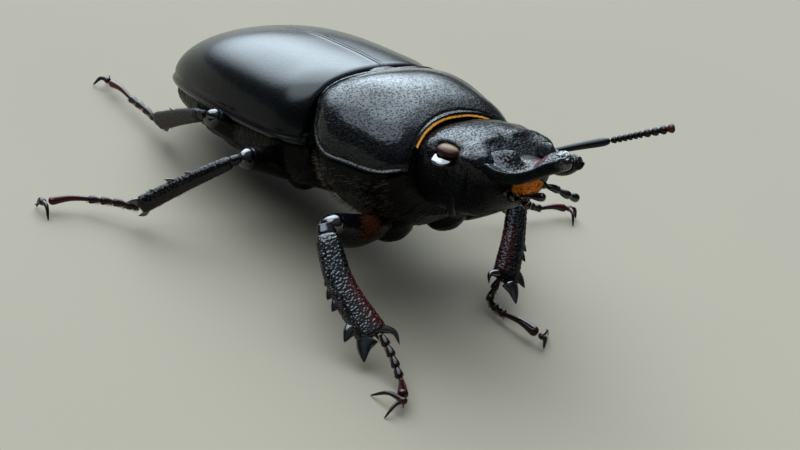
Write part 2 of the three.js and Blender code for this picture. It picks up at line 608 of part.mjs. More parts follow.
const capsule = join(headBlock(), canthus(-1), canthus(1));
onHead('head', without(capsule, eyeball(-1, GAP), eyeball(1, GAP), ...grownJaws), 'rough_shell');
onHead('labrum', without(labrum(), grownHead, ...grownJaws, ...grownBrushes), 'mandible');
for (const [word, side] of Object.entries(sides)) {
  const feeler = FEELERS[word];
  onHead(`eye_${word}`, eyeball(side), 'eye');
  onHead(`mandible_${word}`, mandible(side), 'mandible');
  onHead(`mouth_brush_${word}`, without(mouthBrush(side), grownHead, ...grownJaws), 'brush');
  onHead(`antenna_scape_${word}`, without(scape(feeler), grownHead), 'antenna');
  onHead(`antenna_funicle_${word}`, without(funicle(feeler), scape(feeler, GAP)), 'antenna');
  onHead(`antenna_club_${word}`, without(club(feeler), funicle(feeler, GAP)), 'antenna');
}
for (const [name, route] of Object.entries(PALPS)) {
  onHead(name, without(palp(route), grownHead, ...grownJaws, ...grownBrushes), 'mandible');
}

const toFloor = toTrunk.clone().invert();
const grownTrunk = [prosternumBlock(GAP), grownHindBody].map((piece) => moved(piece, toFloor));
for (const name of legNames) {
  const leg = LEGS[name];
  place(stance, `coxa_${name}`, without(coxa(leg), ...grownTrunk), 'leg');
  place(stance, `femur_${name}`, without(femur(leg), coxa(leg, GAP), ...grownTrunk), 'leg');
  place(stance, `tibia_${name}`, without(tibia(leg), femur(leg, GAP), floor), 'leg');
  place(stance, `tarsus_${name}`, without(tarsus(leg), tibia(leg, GAP), floor), 'foot');
  place(stance, `claws_${name}`, without(claws(leg), tarsus(leg, GAP), floor), 'foot');
}
beetle.position.set(-CENTRE.x, -CENTRE.y, 0);

export default beetle;
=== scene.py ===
# A female stag beetle, life size, standing with its fore body raised.
# Shapes are worked out in millimetres: the plates of the trunk in a level frame of their own, the head
# in a frame turned a little to its left about the neck, the legs where they stand on the floor. Every
# surface is a grid of two parameters, or a section carried along a route, turned into the row's frame
# and metres only when its mesh is made.
from functools import partial
from itertools import product

import bpy
import numpy as np
from mathutils import Matrix


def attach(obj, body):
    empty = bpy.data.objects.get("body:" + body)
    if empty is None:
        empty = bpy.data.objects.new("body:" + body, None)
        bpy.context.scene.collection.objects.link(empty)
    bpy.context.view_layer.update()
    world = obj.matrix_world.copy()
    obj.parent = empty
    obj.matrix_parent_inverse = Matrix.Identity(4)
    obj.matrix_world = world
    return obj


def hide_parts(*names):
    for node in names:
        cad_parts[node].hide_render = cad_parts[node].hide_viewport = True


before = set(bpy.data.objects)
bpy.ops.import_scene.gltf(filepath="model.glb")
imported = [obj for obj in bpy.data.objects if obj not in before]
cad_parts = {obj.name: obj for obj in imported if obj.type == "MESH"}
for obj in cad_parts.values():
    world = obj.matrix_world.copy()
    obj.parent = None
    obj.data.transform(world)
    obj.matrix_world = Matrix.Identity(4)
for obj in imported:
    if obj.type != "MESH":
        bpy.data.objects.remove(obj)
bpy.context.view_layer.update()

MM = 0.001
CENTRE = np.array([0.305, -1.395, 0.0])   # middle of the whole beetle's box, in plan
PITCH = np.radians(12.0)                  # nose-up tilt of the trunk
LIFT = 7.44                               # height of the elytral margin above the floor
HEAD_TURN = np.radians(5.0)               # the head looks a little to its left
NECK_Y = -11.8
GAP = 0.12                                # thin gap between neighbouring plates
SIDES = {"right": -1, "left": 1}
rng = np.random.default_rng(7)


# ---------------------------------------------------------------- frames
def trunk_to_floor(p):
    """The trunk's level frame, pitched nose up and lifted off the floor."""
    x, y, z = parts_of(p)
    c, s = np.cos(PITCH), np.sin(PITCH)
    return grid(x, c * y + s * z, -s * y + c * z + LIFT)


def head_to_floor(p):
    """The head's frame, turned about an upright line through the neck, then as the trunk."""
    x, y, z = parts_of(p - [0, NECK_Y, 0])
    c, s = np.cos(HEAD_TURN), np.sin(HEAD_TURN)
    return trunk_to_floor(grid(x * c - y * s, x * s + y * c + NECK_Y, z))


def as_it_stands(p):
    """For what is drawn where it stands on the floor."""
    return p


# ---------------------------------------------------------------- curves and patterns
def clamp01(t):
    return np.clip(t, 0.0, 1.0)


def smooth(low, high, t):
    """0 below low, 1 above high, with a soft S between."""
    s = clamp01((t - low) / (high - low))
    return s * s * (3 - 2 * s)


def rounded_end(t, a, b):
    """(1 - t^a)^(1/b): 1 at the start, falling to 0 at t = 1 like the end of an oval."""
    return (1 - clamp01(t) ** a) ** (1 / b)


def signed_power(v, p):
    return np.sign(v) * np.abs(v) ** p


def hump(t, at, width):
    """A bell curve of height 1."""
    return np.exp(-(((t - at) / width) ** 2))


def swelling(p, centre, radii, height):
    """A smooth swelling about a point, or a hollow where height is negative."""
    return height * np.exp(-(((p - np.array(centre)) / radii) ** 2).sum(-1))


def unit(v):
    return v / np.linalg.norm(v, axis=-1, keepdims=True)


def shares(count):
    """A column of even shares from 0 to 1."""
    return np.linspace(0, 1, count)[:, None]


def turns(count):
    """Angles round a section, half a step off its axes."""
    return 2 * np.pi * (np.arange(count) + 0.5) / count


def parts_of(p):
    """The three coordinates of points."""
    return (p[..., axis] for axis in range(3))


def grid(x, y, z):
    """Points from coordinates that are spread to one shape."""
    return np.stack(np.broadcast_arrays(x, y, z), -1)


def catmull_rom(points, v):
    """Centripetal Catmull-Rom spline through the points, at v from 0 to 1, each span an equal share."""
    p = np.asarray(points, float)
    p = np.concatenate([[2 * p[0] - p[1]], p, [2 * p[-1] - p[-2]]])
    spans = len(p) - 3
    at = clamp01(v) * spans
    k = np.minimum(at.astype(int), spans - 1)
    t = (at - k).reshape(at.shape + (1,) * (p.ndim - 1))
    a, b, c, d = (p[k + i] for i in range(4))
    ta, tb, tc = (np.sqrt(np.linalg.norm(after - before, axis=-1, keepdims=True))
                  for before, after in ((a, b), (b, c), (c, d)))
    start = ((b - a) / ta - (c - a) / (ta + tb) + (c - b) / tb) * tb
    finish = ((c - b) / tb - (d - b) / (tb + tc) + (d - c) / tc) * tb
    return (b + start * t + (3 * (c - b) - 2 * start - finish) * t ** 2
            + (2 * (b - c) + start + finish) * t ** 3)


def route(points, share):
    """Places and directions at the given shares of the length of the spline through the points."""
    dense = catmull_rom(points, np.linspace(0, 1, 60 * (len(points) - 1) + 1))
    run = np.concatenate([[0], np.cumsum(np.linalg.norm(np.diff(dense, axis=0), axis=1))])
    run /= run[-1]
    at = lambda s: np.stack([np.interp(s, run, dense[:, i]) for i in range(3)], -1)
    return at(share), unit(at(np.minimum(share + 0.02, 1)) - at(np.maximum(share - 0.02, 0)))


def cell_value(cell, salt):
    """A repeatable number from 0 to 1 for each whole-numbered cell of space, from its stirred-up bits."""
    x, y, z = parts_of(cell * (73856093, 19349663, 83492791))
    h = x ^ y ^ z ^ (salt * 2654435761)
    for shift, stir in ((13, 1274126177), (15, 2246822519)):
        h = ((h ^ (h >> shift)) * stir) & 0xFFFFFFFF
    return ((h ^ (h >> 16)) & 0xFFFFFF) / 0xFFFFFF


def undulation(p, size, salt):
    """Smooth noise from -1 to 1: the values of the corners of each cell of space, blended between them."""
    q = np.asarray(p) / size
    cell = np.floor(q).astype(np.int64)
    f = q - cell
    f = f * f * (3 - 2 * f)
    total = 0.0
    for corner in product((0, 1), repeat=3):
        weight = np.prod(np.where(np.array(corner) == 1, f, 1 - f), axis=-1)
        total = total + weight * cell_value(cell + np.array(corner), salt)
    return 2 * total - 1


def pits(p, spacing, salt):
    """1 in the middle of each pit and 0 on the ridges between: pits lie round points scattered one to a
    cell, and a point's value falls with its distance from the nearest of them."""
    q = np.asarray(p) / spacing
    cell = np.floor(q).astype(np.int64)
    nearest = np.full(q.shape[:-1], 9.0)
    for step in product((-1, 0, 1), repeat=3):
        c = cell + np.array(step)
        place = c + np.stack([cell_value(c, salt + i) for i in (1, 2, 3)], -1)
        nearest = np.minimum(nearest, np.linalg.norm(place - q, axis=-1))
    return 1 - smooth(0.15, 0.75, nearest)


# ---------------------------------------------------------------- surfaces
# A skin is (points, quads, triangles, marks): marks are numbers on the points that the finishes read.
def quads_of(rows, columns, wrap):
    k, i = np.meshgrid(np.arange(rows - 1), np.arange(columns if wrap else columns - 1), indexing="ij")
    a, b = k * columns + i, k * columns + (i + 1) % columns
    return np.stack([a, b, b + columns, a + columns], -1).reshape(-1, 4)


def facing_out(points, quads, triangles, marks):
    """The same closed skin with its faces turned outwards, by the sign of the volume that they enclose."""
    faces = np.vstack([quads[:, :3], quads[:, [0, 2, 3]], triangles])
    a, b, c = (points[faces[:, i]] - points.mean(0) for i in range(3))
    if np.einsum("ij,ij->", a, np.cross(b, c)) < 0:
        quads, triangles = quads[:, ::-1], triangles[:, ::-1]
    return points, quads, triangles, marks


def spread(value, shape):
    return np.broadcast_to(np.asarray(value, float), shape).reshape(-1)


def tube(rings, **marks):
    """Closed rings joined one to the next, each end closed by a fan to its middle."""
    rows, columns = rings.shape[:2]
    points = np.vstack([rings.reshape(-1, 3), rings[0].mean(0), rings[-1].mean(0)])
    i = np.arange(columns)
    j = (i + 1) % columns
    last = (rows - 1) * columns
    fans = np.vstack([np.stack([j, i, np.full(columns, rows * columns)], -1),
                      np.stack([last + i, last + j, np.full(columns, rows * columns + 1)], -1)])
    full = {}
    for name, value in marks.items():
        flat = spread(value, (rows, columns))
        full[name] = np.append(flat, [flat[0], flat[-1]])
    return facing_out(points, quads_of(rows, columns, True), fans, full)


def sculpted(rings, height, **marks):
    """A tube of the rings, raised by height."""
    return tube(raised(rings, height, wrap=True), **marks)


def shell(outer, inner, **marks):
    """A wall between two grids of the same size, closed by strips along its four borders."""
    rows, columns = outer.shape[:2]
    count = rows * columns
    skin = quads_of(rows, columns, False)
    border = np.concatenate([np.arange(columns), np.arange(1, rows) * columns + columns - 1,
                             count - 2 - np.arange(columns - 1),
                             (rows - 2 - np.arange(rows - 2)) * columns])
    after = np.roll(border, -1)
    strips = np.stack([after, border, border + count, after + count], -1)
    full = {name: np.tile(spread(value, (rows, columns)), 2) for name, value in marks.items()}
    return facing_out(np.vstack([outer.reshape(-1, 3), inner.reshape(-1, 3)]),
                      np.vstack([skin, skin[:, ::-1] + count, strips]), np.zeros((0, 3), int), full)


def outward(points, wrap=False):
    """Unit normals of a grid, pointing away from its middle."""
    if wrap:
        across = np.roll(points, -1, 1) - np.roll(points, 1, 1)
    else:
        across = np.gradient(points, axis=1)
    normal = np.cross(np.gradient(points, axis=0), across)
    normal /= np.maximum(np.linalg.norm(normal, axis=-1, keepdims=True), 1e-9)
    middle = points.reshape(-1, 3).mean(0)
    return normal * np.sign(((points - middle) * normal).sum())


def raised(points, height, wrap=False):
    """The grid with each point moved along its normal."""
    return points + outward(points, wrap) * np.broadcast_to(height, points.shape[:2])[..., None]


def spindle(points, side, half_width, half_depth=None, steps=24, count=20, share=None, boxiness=2.0,
            bulge=None):
    """A closed limb: an oval section carried along a route. Its half sizes are functions of the share of the
    length, and side gives the way of its width. Boxiness 2 is an ellipse, more is squarer; bulge multiplies
    the section's radius at each (share, angle)."""
    even = np.linspace(0, 1, steps)
    t = even if share is None else share
    u = (t - t[0]) / (t[-1] - t[0])
    centres, along = route(points, t)
    side = np.asarray(side, float)
    across = unit(side - along * (along * side).sum(-1, keepdims=True))
    up = np.cross(along, across)
    angle = turns(count)
    scale = 1.0 if bulge is None else bulge(even[:, None], angle)
    wide, deep = (np.broadcast_to(half(u), (steps,))[:, None] * signed_power(wave, 2 / boxiness) * scale
                  for half, wave in ((half_width, np.cos(angle)), (half_depth or half_width, np.sin(angle))))
    return centres[:, None] + across[:, None] * wide[..., None] + up[:, None] * deep[..., None]


def lofted(loops, rows, columns):
    """Closed rings through loops of points: the spline runs along the loops, then round them."""
    along = catmull_rom(loops, np.linspace(0, 1, rows))
    count = along.shape[1]
    around = np.concatenate([along[:, -2:], along, along[:, :3]], 1).swapaxes(0, 1)
    return catmull_rom(around, (2 + count * np.arange(columns) / columns) / (count + 4)).swapaxes(0, 1)


def ball(centre, radius, rows=40, columns=56):
    """Rings of an egg about its z axis, from just off one pole to the other."""
    tilt = np.linspace(0.03, np.pi - 0.03, rows)[:, None]
    turn = 2 * np.pi * np.arange(columns) / columns
    shape = grid(np.sin(tilt) * np.cos(turn), np.sin(tilt) * np.sin(turn), np.cos(tilt))
    return np.asarray(centre) + shape * np.asarray(radius)


HAIR_STOPS = np.array([0.0, 0.4, 0.75, 1.0])   # shares of a hair's length: its three rings and its point
HAIR_RADII = np.array([1.0, 0.85, 0.5])        # radii of the rings, in thicknesses of the hair
MAP_PATCH = 0.003                              # size of a hair's patch of the map


def tufts(roots, ways, length, thick, droop, place):
    """Tapered three-sided hairs in one joined skin, and their map. Each leaves its root along its way, curves
    over by droop, and narrows to a point; place says where each hair's own patch of the map lies."""
    ways = unit(ways)
    count, sides = len(roots), 3
    length, thick = (np.broadcast_to(v, (count,)) for v in (length, thick))
    helper = np.where(np.abs(ways[:, 2:]) < 0.8, [[0.0, 0.0, 1.0]], [[1.0, 0.0, 0.0]])
    first = unit(np.cross(ways, helper))
    second = np.cross(ways, first)
    spine = (roots[:, None] + ways[:, None] * (HAIR_STOPS * length[:, None])[..., None]
             + np.asarray(droop) * (HAIR_STOPS ** 2 * length[:, None])[..., None])
    i = np.arange(sides)
    angle = (2 * np.pi * i / sides)[:, None]
    ring = first[:, None] * np.cos(angle) + second[:, None] * np.sin(angle)
    rings = spine[:, :3, None] + ring[:, None] * (thick[:, None] * HAIR_RADII)[..., None, None]
    points = np.concatenate([rings.reshape(count, -1, 3), spine[:, 3:]], 1)
    each = points.shape[1]
    tip = np.stack([2 * sides + i, 2 * sides + (i + 1) % sides, np.full(sides, 3 * sides)], -1)
    triangles = np.vstack([tip, [[2, 1, 0]]])
    start = (np.arange(count) * each)[:, None, None]
    at = np.append(np.repeat(HAIR_STOPS[:3], sides), 1.0)
    patch = MAP_PATCH * np.stack([np.append(np.tile(i / sides, 3), 0.5), at], -1)
    marks = {"tip": np.tile(at, count), "shade": np.repeat(rng.uniform(0, 1, count), each)}
    skin = facing_out(points.reshape(-1, 3), (quads_of(3, sides, True) + start).reshape(-1, 4),
                      (triangles + start).reshape(-1, 3), marks)
    return skin, (place[:, None] + patch).reshape(-1, 2)


def toned_and_shaded(hairs, tone_and_shade):
    """The hairs with their tips drawn towards the colour of the root, by a factor for each hair. It serves
    for hairs of a darker tone and for painted shade.
    """
    hairs[3]["tip"] *= np.repeat(tone_and_shade, len(hairs[0]) // len(tone_and_shade))
    return hairs


def fur(rings, where, count, lean, length, thick, lift):
    """Hairs rooted at random on closed rings, as densely as where says. Each way is lift times the outward
    normal plus lean, a little uneven; the hair's map place is its root's share round and along the rings."""
    rows, columns = rings.shape[:2]
    weight = np.broadcast_to(where, (rows, columns))[:-1].ravel()
    row, column = np.divmod(rng.choice(len(weight), count, p=weight / weight.sum()), columns)
    u, v = rng.uniform(0, 1, (2, count, 1))
    after = (column + 1) % columns
    roots = ((rings[row, column] * (1 - u) + rings[row, after] * u) * (1 - v)
             + (rings[row + 1, column] * (1 - u) + rings[row + 1, after] * u) * v)
    uneven = rng.normal(0, 0.15, (count, 3))
    ways = outward(rings, wrap=True)[row, column] * lift + np.asarray(lean) + uneven
    place = np.hstack([(column[:, None] + u) / columns, (row[:, None] + v) / rows])
    return tufts(roots, ways, rng.uniform(0.7, 1.2, count) * length, thick, (0, 0, 0), place)


def joined(skins):
    """Several skins as one."""
    points, quads, triangles, marks, base = [], [], [], {}, 0
    names = sorted({name for skin in skins for name in skin[3]})
    for p, q, t, m in skins:
        points.append(p)
        quads.append(q + base)
        triangles.append(t + base)
        for name in names:
            marks.setdefault(name, []).append(m.get(name, np.zeros(len(p))))
        base += len(p)
    return (np.vstack(points), np.vstack(quads), np.vstack(triangles),
            {name: np.concatenate(values) for name, values in marks.items()})


def piece(name, skins, finish, slot, *nodes, place=as_it_stands, uv=None):
    """Makes one object of the skins, in metres, in the row's frame, and hides the model's parts that it
    stands for.
    """
    points, quads, triangles, marks = joined(skins)
    points = (place(points) - CENTRE) * MM
    mesh = bpy.data.meshes.new(name)
    corners = np.concatenate([quads.ravel(), triangles.ravel()]).astype(np.int32)
    starts = np.concatenate([4 * np.arange(len(quads)), 4 * len(quads) + 3 * np.arange(len(triangles))])
    mesh.vertices.add(len(points))
    mesh.vertices.foreach_set("co", points.astype(np.float32).ravel())
    mesh.loops.add(len(corners))
    mesh.loops.foreach_set("vertex_index", corners)
    mesh.polygons.add(len(starts))
    mesh.polygons.foreach_set("loop_start", starts.astype(np.int32))
    mesh.polygons.foreach_set("use_smooth", np.ones(len(starts), bool))
    for key, values in marks.items():
        attribute = mesh.attributes.new(key, "FLOAT", "POINT")
        attribute.data.foreach_set("value", values.astype(np.float32))
    if uv is not None:
        layer = mesh.uv_layers.new(name="OFBake")
        layer.data.foreach_set("uv", uv[corners].astype(np.float32).ravel())
    mesh.update(calc_edges=True)
    mesh.validate()
    mesh.materials.append(finish)
    made = bpy.data.objects.new(name, mesh)
    bpy.context.scene.collection.objects.link(made)
    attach(made, "root")
    if nodes:
        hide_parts(*nodes)


trunk_piece = partial(piece, place=trunk_to_floor)
head_piece = partial(piece, place=head_to_floor)


# ---------------------------------------------------------------- finishes
def feed(tree, socket, value):
    """Links a socket to the output that feeds it, or sets it to a plain value."""
    if isinstance(value, bpy.types.NodeSocket):
        tree.links.new(value, socket)
    else:
        socket.default_value = value


def fill(tree, made, **inputs):
    """Feeds a node's inputs by name, with _ for a space."""
    for key, value in inputs.items():
        feed(tree, made.inputs[key.replace("_", " ")], value)


def node(tree, kind, settings=None, values=(), **inputs):
    """A shader node with its settings, its first inputs from values, and its named inputs."""
    made = tree.nodes.new("ShaderNode" + kind)
    for key, value in (settings or {}).items():
        setattr(made, key, value)
    for socket, value in zip(made.inputs, values):
        feed(tree, socket, value)
    fill(tree, made, **inputs)
    return made


def math(tree, operation, *values, clamp=False):
    return node(tree, "Math", {"operation": operation, "use_clamp": clamp}, values).outputs[0]


def times(tree, first, second):
    return math(tree, "MULTIPLY", first, second)


def rest_of(tree, share):
    """What a share leaves of 1."""
    return math(tree, "SUBTRACT", 1.0, share, clamp=True)


def soft_step(tree, value, low, high):
    """0 below low, 1 above high, with a soft S between."""
    return node(tree, "MapRange", {"interpolation_type": "SMOOTHSTEP"}, Value=value, From_Min=low,
                From_Max=high).outputs[0]


def blended(tree, share, first, second):
    """A colour between two, by a share from 0 to 1."""
    mix = node(tree, "Mix", {"data_type": "RGBA"})
    for index, value in ((0, share), (6, first), (7, second)):
        feed(tree, mix.inputs[index], value)
    return mix.outputs[2]


def mark(tree, name):
    """The number that a skin's points carry under this name."""
    return node(tree, "Attribute", {"attribute_name": name}).outputs["Fac"]


def in_millimetres(tree):
    place = node(tree, "TexCoord").outputs["Object"]
    return node(tree, "VectorMath", {"operation": "SCALE"}, Vector=place, Scale=1 / MM).outputs[0]


def cloud(tree, scale, **inputs):
    """Noise from 0 to 1 with this many swells to the millimetre."""
    return node(tree, "TexNoise", Vector=in_millimetres(tree), Scale=scale, **inputs).outputs["Fac"]


def effect(name, inputs, outputs, build):
    """A shader node group: its inputs with their defaults, its outputs, and build(tree, sockets), which
    returns what the outputs carry."""
    tree = bpy.data.node_groups.new(name, "ShaderNodeTree")
    for key, value in inputs.items():
        socket = tree.interface.new_socket(key, in_out="INPUT", socket_type="NodeSocketFloat")
        socket.default_value = value
    for key in outputs:
        tree.interface.new_socket(key, in_out="OUTPUT", socket_type="NodeSocketFloat")
    entry = tree.nodes.new("NodeGroupInput")
    leave = tree.nodes.new("NodeGroupOutput")
    for socket, value in zip(leave.inputs, build(tree, entry.outputs)):
        tree.links.new(value, socket)
    return tree


def punctures(tree, sockets):
    """Fine pits at the given spacing in millimetres, bent out of their rows by noise: 0 in a pit, 1 on the
    ground between."""
    place = in_millimetres(tree)
    drift = node(tree, "TexNoise", Vector=place, Scale=1.7, Detail=1.0).outputs["Color"]
    bent = node(tree, "VectorMath", {"operation": "MULTIPLY_ADD"}, (drift, (0.5, 0.5, 0.5), place))
    density = math(tree, "DIVIDE", 1.0, sockets["Spacing"])
    from_pit = node(tree, "TexVoronoi", Vector=bent.outputs[0], Scale=density).outputs["Distance"]
    return (soft_step(tree, from_pit, 0.24, 0.56),)


def weathering(tree, sockets):
    """Slow patches of tone, and finer smears and specks where dust dulls the gloss."""
    specks = cloud(tree, 9.0, Detail=4.0, Roughness=0.7)
    return cloud(tree, sockets["Scale"], Detail=3.0), soft_step(tree, specks, 0.56, 0.74)


PUNCTURES = effect("Punctures", {"Spacing": 0.2}, ("Height",), punctures)
WEATHERING = effect("Weathering", {"Scale": 0.5}, ("Tone", "Dust"), weathering)


def new_finish(name):
    material = bpy.data.materials.new(name)
    material.use_nodes = True
    tree = material.node_tree
    return material, tree, tree.nodes["Principled BSDF"]


def thousandths(colour):
    return (*(0.001 * c for c in colour), 1)


def cuticle(name, colour, second, red=(90, 6, 4), roughness=0.3, coat=0.5, coat_roughness=0.12, shine=0.06,
            spacing=0.3, depth=0.002, dust=0.02, worn=0.0, film=1.5):
    """Beetle shell: two dark tones in slow patches, deep red where the mark says, specks of dust, and
    punctures depth millimetres deep. Over it lies a thin film of wax of the refractive index film: none where
    the mark matt is 1, and thinner in the pits by the share worn. The mark gloss polishes the pits away.
    Colours are in thousandths."""
    material, tree, shader = new_finish(name)
    weather = node(tree, "Group", {"node_tree": WEATHERING}, Scale=0.5).outputs
    tone = node(tree, "MapRange", Value=weather["Tone"], From_Min=0.35, From_Max=0.65).outputs[0]
    body = blended(tree, tone, thousandths(colour), thousandths(second))
    body = blended(tree, mark(tree, "red"), body, thousandths(red))
    body = blended(tree, times(tree, weather["Dust"], dust), body, (0.16, 0.15, 0.13, 1))
    duller = math(tree, "MULTIPLY_ADD", weather["Dust"], 0.3, roughness - 0.05)
    uneven = math(tree, "MULTIPLY_ADD", weather["Tone"], 0.1, duller)
    polished = math(tree, "MULTIPLY_ADD", mark(tree, "gloss"), -0.2, uneven, clamp=True)
    grain = node(tree, "Group", {"node_tree": PUNCTURES}, Spacing=spacing).outputs["Height"]
    kept = rest_of(tree, mark(tree, "gloss"))
    bump = node(tree, "Bump", Height=times(tree, grain, kept), Distance=depth * MM, Strength=1.0)
    waxed = times(tree, rest_of(tree, mark(tree, "matt")), coat)
    lost = times(tree, rest_of(tree, grain), times(tree, kept, worn))
    fill(tree, shader, Base_Color=body, Roughness=polished, Normal=bump.outputs[0],
         Coat_Weight=times(tree, waxed, rest_of(tree, lost)), Coat_Roughness=coat_roughness, Coat_IOR=film,
         Specular_IOR_Level=shine)
    return material


def hair(name, root, tip, pale, glow=0.0):
    """Stiff hair: darker at the root, with a paler shade on some hairs, and painted light: its colour is
    also emitted, brightening hair that lies in shade."""
    material, tree, shader = new_finish(name)
    along = blended(tree, mark(tree, "tip"), (*root, 1), (*tip, 1))
    colour = blended(tree, times(tree, mark(tree, "shade"), 0.6), along, (*pale, 1))
    uneven = math(tree, "MULTIPLY_ADD", cloud(tree, 12.0), 0.3, 0.35)
    # painted light: the hair's colour is also emitted, at the strength glow, brightening hair that lies in
    # shade
    fill(tree, shader, Base_Color=colour, Emission_Color=colour, Emission_Strength=glow, Roughness=uneven,
         Sheen_Weight=0.6, Sheen_Tint=(*tip, 1))
    return material


def eye_finish():
    """A compound eye: dark red, under fine facets, with painted light in orange-brown along its lit upper
    edge.
    """
    material, tree, shader = new_finish("eye")
    # painted light: the eye's upper edge is painted orange-brown where its top is lit
    amber = blended(tree, mark(tree, "amber"), (0.025, 0.003, 0.001, 1), (0.15, 0.08, 0.016, 1))
    mottle = cloud(tree, 5.0, Detail=3.0)
    facets = node(tree, "Group", {"node_tree": PUNCTURES}, Spacing=0.07).outputs["Height"]
    bump = node(tree, "Bump", Height=facets, Distance=0.002 * MM, Strength=0.6)
    fill(tree, shader, Base_Color=blended(tree, times(tree, mottle, 0.5), amber, (0.02, 0.003, 0.002, 1)),
         Roughness=math(tree, "MULTIPLY_ADD", mottle, 0.12, 0.24), Normal=bump.outputs[0],
         Specular_IOR_Level=0.15)
    return material


def floor_finish():
    """A pale plain floor, with a faint slow change of tone."""
    material, tree, shader = new_finish("pale floor")
    tone = blended(tree, cloud(tree, 0.02, Detail=2.0), (0.222, 0.187, 0.141, 1), (0.245, 0.207, 0.155, 1))
    fill(tree, shader, Base_Color=tone, Roughness=0.85, Specular_IOR_Level=0.2)
    return material


SMOOTH = cuticle("polished shell", (1, 1.5, 2), (2, 2, 3), roughness=0.27, coat_roughness=0.15, shine=0.12,
                 depth=0.004, dust=0.03)
ROUGH = cuticle("grained shell", (1, 1.3, 2), (2, 2, 3), coat=1.0, coat_roughness=0.08, spacing=0.155,
                depth=0.06, worn=0.85)
HEAD_SHELL = cuticle("head shell", (1, 1.3, 2), (3, 2, 3), coat_roughness=0.09, shine=0.05, spacing=0.165,
                     depth=0.08, worn=0.95)
BELLY_SHELL = cuticle("belly shell", (1.5, 1.5, 1.5), (3, 2, 1.5), coat=0.0, shine=0.08, spacing=0.18,
                      depth=0.012)
JAW = cuticle("jaw", (1, 1.5, 2), (2, 2, 3), coat=0.9, spacing=0.15, depth=0.06, dust=0.03, worn=0.8,
              film=1.95)
LEG = cuticle("leg shell", (1, 1, 2), (2, 1.5, 1.5), coat=0.8, coat_roughness=0.07, spacing=0.17, depth=0.02,
              worn=0.3, film=2.0)
FOOT = cuticle("foot shell", (2, 1.5, 1.5), (4, 1.5, 1.5), red=(40, 2, 2), roughness=0.25, coat=0.4,
               coat_roughness=0.06, shine=0.12, spacing=0.12, depth=0.003)
FEELER = cuticle("feeler shell", (1, 2, 2.5), (2, 3, 3.5), red=(60, 8, 6), coat=0.3, coat_roughness=0.1,
                 shine=0.1, spacing=0.09)
WET_RIM = cuticle("wet rim", (2, 2, 2), (3, 3, 3), roughness=0.14, coat=1.0, coat_roughness=0.04, shine=1.0,
                  dust=0.0)
PALP = cuticle("palp shell", (1, 1, 1.5), (2, 1.5, 1.5), roughness=0.15, coat=1.0, coat_roughness=0.04,
               shine=0.15, dust=0.0)
EYE_FINISH = eye_finish()
# The fringe and the brush hairs emit painted light, which brightens them where they lie in shade.
FRINGE_HAIR = hair("golden hair", (0.28, 0.07, 0.01), (1.0, 0.46, 0.04), (1.0, 0.62, 0.12), glow=0.3)
BRUSH_HAIR = hair("orange hair", (0.08, 0.008, 0.001), (1.0, 0.26, 0.012), (1.0, 0.45, 0.06), glow=0.14)
RUST_HAIR = hair("rust hair", (0.015, 0.005, 0.002), (0.15, 0.038, 0.007), (0.28, 0.08, 0.012))
BRISTLE = hair("dark bristle", (0.02, 0.008, 0.005), (0.10, 0.04, 0.02), (0.14, 0.06, 0.03))
BREAST_HAIR = hair("golden down", (0.012, 0.008, 0.004), (0.055, 0.034, 0.012), (0.09, 0.056, 0.018))
FLOOR_FINISH = floor_finish()


# ---------------------------------------------------------------- elytra and hind body
ELYTRA = {"front": -4.4, "apex": 15.9, "half_width": 7.88, "rise": 5.4, "crest_at": 1.7, "droop": 1.0,
          "droop_from": 3.0, "wall": 0.42, "rim": 0.1, "suture": 0.05, "boxiness": 2.55, "fold": 0.15,
          "shoulder": (5.6, -2.3, 3.6)}
BELLY = {"front": -4.3, "rear": 15.2, "waist": 3.3, "depth": 4.3, "deepest": 0.5, "inset": 0.45,
         "below_roof": 0.6, "boxiness": 2.2}
COLLAR = {"front": -5.1, "middle": 0.5, "share": 0.92}
PLATES = (3.3, 5.9, 8.3, 10.5, 12.6, 15.2)   # hind edges of the plates of the abdomen, from the waist back
SCUTELLUM = {"front": -4.6, "tip": -2.72, "half_width": 1.25, "base": 4.15, "thickness": 0.85}


def elytra_half_width(y):
    widening = (ELYTRA["half_width"] - 0.3 * (y / 5) ** 2) * rounded_end((-1.5 - y) / 4.6, 2.6, 2)
    tapering = ELYTRA["half_width"] * rounded_end(y / ELYTRA["apex"], 2, 2.06)
    return np.where(y > 0, tapering, widening)


def elytra_margin(y):
    start, apex = ELYTRA["droop_from"], ELYTRA["apex"]
    return -ELYTRA["droop"] * clamp01((y - start) / (apex - start)) ** 2


def elytra_rise(y):
    crest = ELYTRA["crest_at"]
    behind = ELYTRA["rise"] * rounded_end((y - crest) / (ELYTRA["apex"] - crest), 2.3, 1.5)
    ahead = ELYTRA["rise"] - 0.35 * ((crest - y) / (crest - ELYTRA["front"])) ** 2
    return np.where(y > crest, behind, ahead)


def belly_depth(y):
    deepest = BELLY["deepest"]
    return BELLY["depth"] * rounded_end((y - deepest) / (ELYTRA["apex"] - deepest), 2.4, 1.6)


def stations(start, stop, count):
    """A column of places along the body that crowd together towards the rounded tail."""
    return start + (stop - start) * np.sin((np.pi / 2) * shares(count) ** 0.85)


def even_angles(count, stop, width, height, boxiness):
    """Angles from 0 to stop that cut an oval arch into even lengths."""
    fine = np.linspace(0, stop, 4000)
    x = signed_power(np.cos(fine), 2 / boxiness) * width
    z = np.abs(np.sin(fine)) ** (2 / boxiness) * height
    run = np.concatenate([[0], np.cumsum(np.hypot(np.diff(x), np.diff(z)))])
    return np.interp(np.linspace(0, run[-1], count), run, fine)


def right_round(count, width, height, boxiness):
    """Angles over the top of a ring and back below it, the lower ones cutting an oval arch into even lengths,
    and a row that is 1 for what is below."""
    top = np.linspace(0, np.pi, 50, endpoint=False)
    under = np.pi - even_angles(count, np.pi, width, height, boxiness)[:-1]
    return top, under, np.hstack([0 * top, 0 * under + 1])


